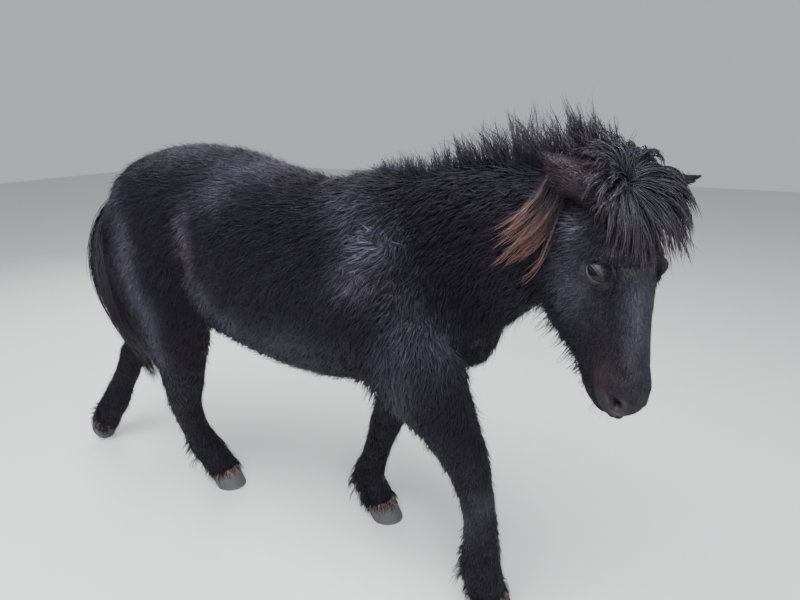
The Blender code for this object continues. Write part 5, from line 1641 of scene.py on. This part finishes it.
def hair_arrays(paths, width):
    """Points, marks, map and tint of tapered three-sided tubes: the half width follows
    (1 - t) to the power 0.6, and the last ring is one point."""
    total, count = paths.shape[:2]
    t = np.linspace(0, 1, count)[:-1]
    along = unit(np.gradient(paths, axis=1))[:, :-1]
    side = unit(np.cross(along, unit(DRAW.normal(0, 1, (total, 1, 3)))))
    over = np.cross(along, side)
    own = np.broadcast_to(width, total) * DRAW.uniform(0.7, 1.3, total) / 2
    half = own[:, None, None] * (0.25 + 0.75 * (1 - t) ** 0.6)[None, :, None]
    middle = paths[:, :-1]
    ring = np.stack([middle - side * half, middle + over * half * 0.55, middle + side * half], 2)
    points = np.concatenate([ring.reshape(total, -1, 3), paths[:, -1:]], axis=1)
    mark = np.zeros((total, 3 * (count - 1) + 1, 3))
    mark[:, :-1, 0] = np.tile([-1.0, 0.0, 1.0], count - 1)
    mark[:, :-1, 1] = np.repeat(t, 3)
    mark[:, -1, 1] = 1.0
    mark[:, :, 2] = DRAW.uniform(0, 1, total)[:, None]
    part, share, turn = nearest_parts(paths[:, 0])
    near = np.stack([share + 0.3 * part, turn], -1)
    near = (near - near.min(axis=0)) / np.maximum(np.ptp(near, axis=0), 0.02)
    patch = 0.015 + 0.97 * np.clip(near + DRAW.uniform(-0.02, 0.02, near.shape), 0, 1)
    flat = np.stack([mark[..., 0], mark[..., 1] * 2 - 1], -1) * PATCH / 2
    tint = markings_and_painted_light(paths[:, 0])
    return points, mark, patch[:, None] + flat, np.repeat(tint[:, None], mark.shape[1], axis=1)


def tube_faces(count):
    """Triangles of one strand of this many stations, its root closed."""
    ring = np.arange(count - 2)[:, None] * 3
    faces = []
    for a, b in ((0, 1), (1, 2), (2, 0)):
        faces += [np.hstack([ring + a, ring + b, ring + b + 3]), np.hstack([ring + a, ring + b + 3, ring + a + 3])]
    last, tip = 3 * (count - 2), 3 * (count - 1)
    ends = np.array([(0, 2, 1), (last, last + 1, tip), (last + 1, last + 2, tip), (last + 2, last, tip)])
    return np.concatenate([*faces, ends])


def hair_piece(name, paths, width, finish=None):
    made = coat_mesh(name, hair_arrays(paths, width), tube_faces(paths.shape[1]), finish or long_hair)
    print(name, len(paths), "strands,", len(made.data.polygons), "triangles")
    return made


# %% [markdown]
# The forelock springs from a whorl between the ears. Its clumps fall all round: long down the
# forehead, shorter over both ears, and at the back they rise in spikes and run into the mane.

# %% Forelock
WHORL = head_point(0.056, 0.012, -0.012)
WHORL_UP = unit(UP * 0.62 + OUT * 0.78)
WHORL_DOWN = unit(DOWN - WHORL_UP * (DOWN @ WHORL_UP))
FORELOCK_CLUMPS, FORELOCK_STRANDS = 236, 10
FORELOCK_SIZES = [  # turn from straight down, length, rise, fall
    (-180, 0.125, 0.90, 0.30),
    (-130, 0.095, 0.60, 0.40),
    (-90, 0.075, 0.40, 0.60),
    (-60, 0.100, 0.35, 0.80),
    (-30, 0.165, 0.40, 0.95),
    (0, 0.188, 0.40, 1.00),
    (30, 0.190, 0.55, 0.95),
    (60, 0.168, 0.80, 0.90),
    (95, 0.158, 1.00, 0.85),
    (130, 0.142, 1.05, 0.75),
    (180, 0.125, 0.90, 0.30),
]
SPIKE_CLUMPS, SPIKE_STRANDS = 74, 6


def forelock_guides():
    """Roots in rings round the whorl. A clump's way is cos(turn) down and sin(turn) to the left. It
    leaves the skin with the table's rise and ends with the table's fall."""
    count = FORELOCK_CLUMPS
    even = np.arange(count) * 0.618 % 1
    degrees = np.where(np.arange(count) % 5 == 0, 38 + 64 * even, -180 + 360 * even)
    turn = np.radians(degrees)
    sizes = np.array(FORELOCK_SIZES)
    length, rise, fall = (np.interp(degrees, sizes[:, 0], sizes[:, k]) for k in (1, 2, 3))
    way = WHORL_DOWN * np.cos(turn)[:, None] + LEFT * np.sin(turn)[:, None]
    ring = 0.003 + 0.042 * DRAW.uniform(0, 1, count) ** 1.4
    roots, normals, met = rooted(WHORL + way * ring[:, None] + WHORL_UP * 0.3, -WHORL_UP)
    first = way + WHORL_UP * (rise * DRAW.uniform(0.15, 1.25, count))[:, None]
    last = way * DRAW.uniform(0.0, 0.50, (count, 1)) - UP * fall[:, None] + DRAW.normal(0, 0.10, (count, 3))
    guides = hung(roots - normals * 0.004, first, last, length * DRAW.uniform(0.74, 1.03, count), 9)[met]
    guides = draped(guides, DRAW.uniform(0.006, 0.024, len(guides)))
    return trimmed(guides, DRAW.uniform(1.148, 1.182, len(guides)))


def spike_guides():
    """Clumps that rise behind the whorl and lean away to both sides and back."""
    count = SPIKE_CLUMPS
    side = DRAW.uniform(-0.070, 0.060, count)[:, None]
    back = DRAW.uniform(0.00, 0.11, count)[:, None]
    roots, normals, met = rooted(POLL + LEFT * side - LEVEL * back + UP * 0.4, -UP)
    lean = LEFT * side * 6 - LEVEL * DRAW.uniform(0.2, 1.2, (count, 1)) + DRAW.normal(0, 0.22, (count, 3))
    guides = hung(roots - normals * 0.004, lean * 0.35 + UP, lean + UP * 0.5, DRAW.uniform(0.045, 0.080, count), 8)
    return guides[met]


hair_piece("forelock", strands_of(forelock_guides(), FORELOCK_STRANDS, 0.0070, 0.0018, 0.003), 0.0021)
hair_piece("forelock_spikes", strands_of(spike_guides(), SPIKE_STRANDS, 0.006, 0.002, 0.004, 0.55), 0.0019)

# %% [markdown]
# The mane of this young horse is short and upright near the withers, and long and wild towards the
# poll. Behind the near ear a thick tress hangs forward and down, brown at its ends.

# %% Mane and tress
CREST = [  # the line the mane grows from: x, y and the length of the hair
    (0.455, 0.000, 0.050),
    (0.620, -0.012, 0.085),
    (0.760, -0.060, 0.115),
    (0.880, -0.120, 0.135),
    (0.980, -0.185, 0.140),
    (1.060, -0.235, 0.110),
]
MANE_CLUMPS, MANE_STRANDS, MANE_HALF = 350, 8, 0.030
TRESS_TOP, TRESS_LOW = (0.998, -0.250, 1.362), (1.022, -0.296, 1.294)
TRESS_TIP, TRESS_TIP_LOW = (0.850, -0.290, 1.180), (0.930, -0.320, 1.105)
TRESS_BOW = np.array((0.022, -0.018, -0.010))
TRESS_CLUMPS, TRESS_STRANDS = 22, 15


def mane_guides():
    """Roots along the crest, a little to either side. Each rises, leans back and to its own side,
    and the longer it is the further it falls."""
    count = MANE_CLUMPS
    place = (np.arange(count) + DRAW.uniform(0, 1, count)) / count * (len(CREST) - 1)
    rows = smooth_rows(CREST, place=place)
    side = DRAW.normal(0, 1, (count, 1))
    across = np.array((0.35, 0.90, 0.0))
    starts = np.column_stack([rows[:, :2], np.full(count, 2.0)]) + across * side * MANE_HALF * 0.6
    roots, normals, met = rooted(starts, -UP)
    length = rows[:, 2] * DRAW.uniform(0.55, 1.15, count)
    fall = (rows[:, 2:] - 0.05) / 0.13
    back = np.array((-0.65, 0.30, 0.0)) * DRAW.uniform(0.2, 1.4, (count, 1))
    first = UP * 1.1 + back * 0.3 + across * side * 0.25
    last = back * 0.55 + UP * (1.0 - 0.70 * fall) + across * side * (0.25 + 0.30 * fall)
    guides = hung(roots - normals * 0.004, first, last + DRAW.normal(0, 0.18, (count, 3)), length, 8)
    return draped(guides[met], 0.014)


def tress_guides():
    """Paths between the tress's upper and lower edge. Each bows outwards by a sine, so that it
    passes over the base of the ear."""
    count = TRESS_CLUMPS
    share = (np.arange(count)[:, None] + DRAW.uniform(0, 1, (count, 1))) / count
    top, low, tip, tip_low = (np.array(p) for p in (TRESS_TOP, TRESS_LOW, TRESS_TIP, TRESS_TIP_LOW))
    start = top * (1 - share) + low * share + DRAW.normal(0, 0.006, (count, 3))
    end = tip * (1 - share) + tip_low * share + DRAW.normal(0, 0.012, (count, 3))
    end = start + (end - start) * DRAW.uniform(0.75, 1.08, (count, 1))
    t = np.linspace(0, 1, 11)[None, :, None]
    bow = TRESS_BOW * np.sin(np.pi * t**0.8) * DRAW.uniform(0.4, 1.4, (count, 1, 1))
    return draped(start[:, None] + (end - start)[:, None] * t + bow, DRAW.uniform(0.006, 0.020, count))


hair_piece("mane", strands_of(mane_guides(), MANE_STRANDS, 0.008, 0.004, 0.005, 0.55), 0.0018)
hair_piece("tress", strands_of(tress_guides(), TRESS_STRANDS, 0.009, 0.0030, 0.004, 0.70), 0.0018, tress_finish)

# %% [markdown]
# The tail grows from the dock, a short bony root, in long hair that falls behind the hocks. Its
# hairs keep their place in the tail as it bends, so each clump follows the tail's own path at its
# own share of the tail's width.

# %% Tail
TAIL_CLUMPS, TAIL_STRANDS, NEAR_CLUMPS = 130, 11, 40
TAIL_NEAR = [  # the hair blown against the right haunch: x, y, z and half width
    (-0.560, -0.010, 1.170, 0.020),
    (-0.600, -0.080, 1.110, 0.035),
    (-0.590, -0.150, 1.020, 0.040),
    (-0.545, -0.195, 0.930, 0.045),
    (-0.490, -0.225, 0.840, 0.045),
    (-0.455, -0.225, 0.760, 0.042),
    (-0.480, -0.165, 0.660, 0.040),
    (-0.540, -0.080, 0.560, 0.035),
    (-0.590, -0.010, 0.470, 0.030),
]


def tail_guides():
    """A clump starts on the dock at its own share and ends further down. Its offset from the path is
    a fixed direction times the tail's half width there, a little less at the root."""
    rows = smooth_rows(TAIL, 200)
    count = TAIL_CLUMPS
    begin = 0.02 + 0.42 * (np.arange(count) / count) ** 1.3
    end = np.clip(begin + DRAW.uniform(0.55, 0.92, count), 0, 1.0)
    t = np.linspace(0, 1, 11)
    place = (begin[:, None] + (end - begin)[:, None] * t) * (len(rows) - 1)
    centre = rows[np.clip(place.astype(int), 0, len(rows) - 1)]
    turn = DRAW.uniform(0, 2 * np.pi, count)
    spread = np.stack([np.cos(turn), np.sin(turn), 0.2 * np.cos(3 * turn)], -1)
    deep = DRAW.uniform(0.25, 1.0, count)
    reach = np.interp(t, (0, 0.15, 1), (0.30, 0.90, 1.0)) * np.maximum(centre[:, :, 3], 0.03) * deep[:, None]
    return centre[..., :3] + spread[:, None] * reach[..., None]


def near_guides():
    """Clumps that lie on the haunch, each at its own share of the band's width, along and out."""
    rows = smooth_rows(TAIL_NEAR, 100)
    end = DRAW.uniform(0.55, 1.0, NEAR_CLUMPS)
    place = (end[:, None] * np.linspace(0, 1, 11) * (len(rows) - 1)).astype(int)
    spread = np.column_stack([DRAW.uniform(-1.3, 1.0, NEAR_CLUMPS), DRAW.uniform(-0.3, 0.3, (NEAR_CLUMPS, 2))])
    paths = rows[place, :3] + spread[:, None] * rows[place, 3:]
    return draped(paths, DRAW.uniform(0.012, 0.030, NEAR_CLUMPS))


tail_paths = np.concatenate([tail_guides(), near_guides()])
tail_strands = strands_of(tail_paths, TAIL_STRANDS, 0.009, 0.007, 0.006, 0.75)
tail = hair_piece("tail_hair", tail_strands, 0.0021, tail_finish)
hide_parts("tail")

# %% [markdown]
# A winter beard hangs from both jaws, and longer hair grows behind each fetlock. Whiskers stand on
# lips and chin, lashes on the upper lids, and the cups of the ears are full of soft hair.

# %% Beard, feathers, lashes and whiskers
FETLOCKS = {  # where the feather starts and ends behind each leg
    "foreleg_right": ((0.828, -0.112, 0.250), (0.830, -0.110, 0.110)),
    "foreleg_left": ((0.312, 0.150, 0.240), (0.298, 0.149, 0.115)),
    "hindleg_right": ((-0.372, -0.018, 0.250), (-0.350, 0.024, 0.105)),
    "hindleg_left": ((-0.960, 0.094, 0.280), (-1.025, 0.076, 0.145)),
}
BEARD_COUNT, FEATHER_COUNT, CORONET_COUNT, WHISKERS, LASHES, EAR_HAIRS = 214, 54, 84, 46, 26, 60
FRINGE_START, FRINGE_END, FRINGE_COUNT = (0.470, -0.60, 0.800), (0.590, -0.60, 0.640), 46


def beard_guides():
    count = BEARD_COUNT
    share = 0.34 + 0.58 * (np.arange(count) + DRAW.uniform(0, 1, count)) / count
    side = (0.080 - 0.055 * share) * DRAW.uniform(-1.1, 0.85, count)
    table = np.array(HEAD)
    behind = np.interp(share, table[:, 0], table[:, 3]) + 0.035
    starts = POLL + DOWN * (share * HEAD_LENGTH)[:, None] + LEFT * side[:, None] - OUT * behind[:, None]
    roots, normals, met = rooted(starts, OUT)
    last = DOWN * 0.72 - OUT * 0.72 + LEFT * np.minimum(side, 0.02)[:, None] * 8 + DRAW.normal(0, 0.15, (count, 3))
    length = np.interp(share, (0.34, 0.60, 0.72, 0.84, 0.92), (0.080, 0.078, 0.070, 0.040, 0.020))
    length = length * DRAW.uniform(0.5, 1.15, count)
    met &= head_places(roots)[:, 1] < 0.085 - behind
    return hung(roots - normals * 0.003, normals + DOWN * 0.4, last, length, 7)[met]


def feather_guides(ends):
    count = FEATHER_COUNT
    share = DRAW.uniform(0, 1, (count, 1))
    place = np.array(ends[0]) * (1 - share) + np.array(ends[1]) * share
    turn = DRAW.normal(0, 0.75, (count, 1))
    out = np.hstack([-np.cos(turn), np.sin(turn), 0 * turn])
    roots, normals, met = rooted(place + out * 0.3, -out)
    last = out * 0.25 - UP + DRAW.normal(0, 0.12, (count, 3))
    length = (0.040 + 0.030 * share[:, 0]) * DRAW.uniform(0.8, 1.2, count)
    return hung(roots - normals * 0.003, out * 0.8 - UP * 0.6, last, length, 7)[met & (roots[:, 2] > 0.075)]


def standing(sole, toe_turn, coronet):
    """The axes and middle of a hoof that stands flat."""
    turn = math.radians(toe_turn)
    c, s = math.cos(turn), math.sin(turn)
    return np.array([(c, s, 0), (-s, c, 0), (0, 0, 1)]), np.array(coronet)


def lifted():
    c, s = math.cos(LIFTED_TURN), math.sin(LIFTED_TURN)
    return np.array([(c, 0, -s), (0, 1, 0), (s, 0, c)]), np.array(LIFTED_CORONET)


def coronet_guides(axes, middle):
    """Short hair that hangs over the top of a hoof, from a ring above it and down its wall."""
    around = 2 * np.pi * (np.arange(CORONET_COUNT) + DRAW.uniform(0, 1, CORONET_COUNT)) / CORONET_COUNT
    ring = np.stack([np.cos(around), np.sin(around), 0 * around], -1)
    high = np.array((0, 0, 1.0))
    start = ring * 0.047 + high * DRAW.uniform(0.006, 0.024, (CORONET_COUNT, 1))
    last = ring * 0.22 - high + DRAW.normal(0, 0.08, (CORONET_COUNT, 3))
    return middle + hung(start, ring * 0.9 - high * 0.6, last, DRAW.uniform(0.040, 0.056, CORONET_COUNT), 7) @ axes


def elbow_guides():
    """Long hair behind the right elbow, rooted on the outside of the leg and hanging back."""
    share = DRAW.uniform(0, 1, (FRINGE_COUNT, 1))
    starts = np.array(FRINGE_START) * (1 - share) + np.array(FRINGE_END) * share
    starts = starts + DRAW.normal(0, 1, (FRINGE_COUNT, 3)) * np.array((0.016, 0.0, 0.016))
    roots, normals, met = rooted(starts, np.array((0.0, 1.0, 0.0)))
    last = np.array((-0.45, 0.0, -1.0)) + DRAW.normal(0, 0.15, (FRINGE_COUNT, 3))
    length = DRAW.uniform(0.055, 0.095, FRINGE_COUNT)
    return hung(roots - normals * 0.003, normals * 0.4 - UP, last, length, 8)[met]


def whisker_guides():
    count = WHISKERS
    share, side = DRAW.uniform(0.84, 1.0, count), DRAW.uniform(-1, 1, count)
    starts = POLL + DOWN * (share * HEAD_LENGTH)[:, None] + LEFT * (side * 0.045)[:, None] - OUT * 0.035
    away = unit(LEFT * side[:, None] - OUT * DRAW.uniform(-0.2, 0.9, (count, 1)) + DOWN * 0.2)
    roots, normals, met = rooted(starts + away * 0.2, -away)
    return hung(roots - normals * 0.002, normals, normals * 0.5 + DOWN * 0.7, DRAW.uniform(0.014, 0.030, count), 7)[met]


def lash_guides(sign):
    """Along the upper lid's edge, out of the ball and bending down."""
    out, along, across = eye_axes(sign)
    upper = -1.0 if (across @ DOWN) > 0 else 1.0
    turn = np.pi * (0.10 + 0.80 * (np.arange(LASHES) + 0.5) / LASHES)
    flat = np.stack(slit_curve(turn), -1)
    high = np.sqrt(EYE_RADIUS**2 - (flat**2).sum(axis=1)) + 0.001
    start = eye_centre(sign) + along * flat[:, :1] + across * upper * flat[:, 1:] + out * high[:, None]
    fan = along * np.cos(turn)[:, None] * 0.5
    last = out * 0.6 + fan - across * upper * 0.9
    return hung(start, out + fan + across * upper * 0.1, last, DRAW.uniform(0.007, 0.011, LASHES), 7)


def ear_guides(side):
    root, axis, opening = ear_frame(side)
    across = np.cross(axis, opening)
    share = DRAW.uniform(0.10, 0.75, (EAR_HAIRS, 1))
    edge = DRAW.uniform(-1, 1, (EAR_HAIRS, 1))
    wide = EAR_WIDTH * 0.8 * np.clip((1 - share) / 0.7, 0.3, 1)
    start = root + axis * EAR_LENGTH * share + across * edge * wide - opening * (1 - edge**2) * 0.014
    first = opening + across * edge * -0.2 + axis * 0.6
    return hung(start, first, axis + opening * 0.25 - across * edge * 0.5, DRAW.uniform(0.014, 0.030, EAR_HAIRS), 7)


hair_piece("beard", strands_of(beard_guides(), 5, 0.006, 0.0030, 0.002, 0.6), 0.0014, fur)
hair_piece("elbow_fringe", strands_of(elbow_guides(), 8, 0.008, 0.003, 0.003, 0.6), 0.0016, fur)
feathers = np.concatenate([feather_guides(ends) for ends in FETLOCKS.values()])
hair_piece("feathers", strands_of(feathers, 6, 0.006, 0.003, 0.002, 0.6), 0.0015, fur)
feet = [standing(*sizes) for sizes in HOOVES.values()] + [lifted()]
coronets = np.concatenate([coronet_guides(*foot) for foot in feet])
hair_piece("coronet_hair", strands_of(coronets, 4, 0.004, 0.003, 0.002, 0.6), 0.0020, fur)
hair_piece("ear_hair", strands_of(np.concatenate([ear_guides(side) for side in EAR_LIE]), 3, 0.004, 0.004, 0.001), 0.0012)
hair_piece("whiskers", whisker_guides(), 0.0007)
hair_piece("lashes", np.concatenate([lash_guides(sign) for sign in (-1, 1)]), 0.0006)
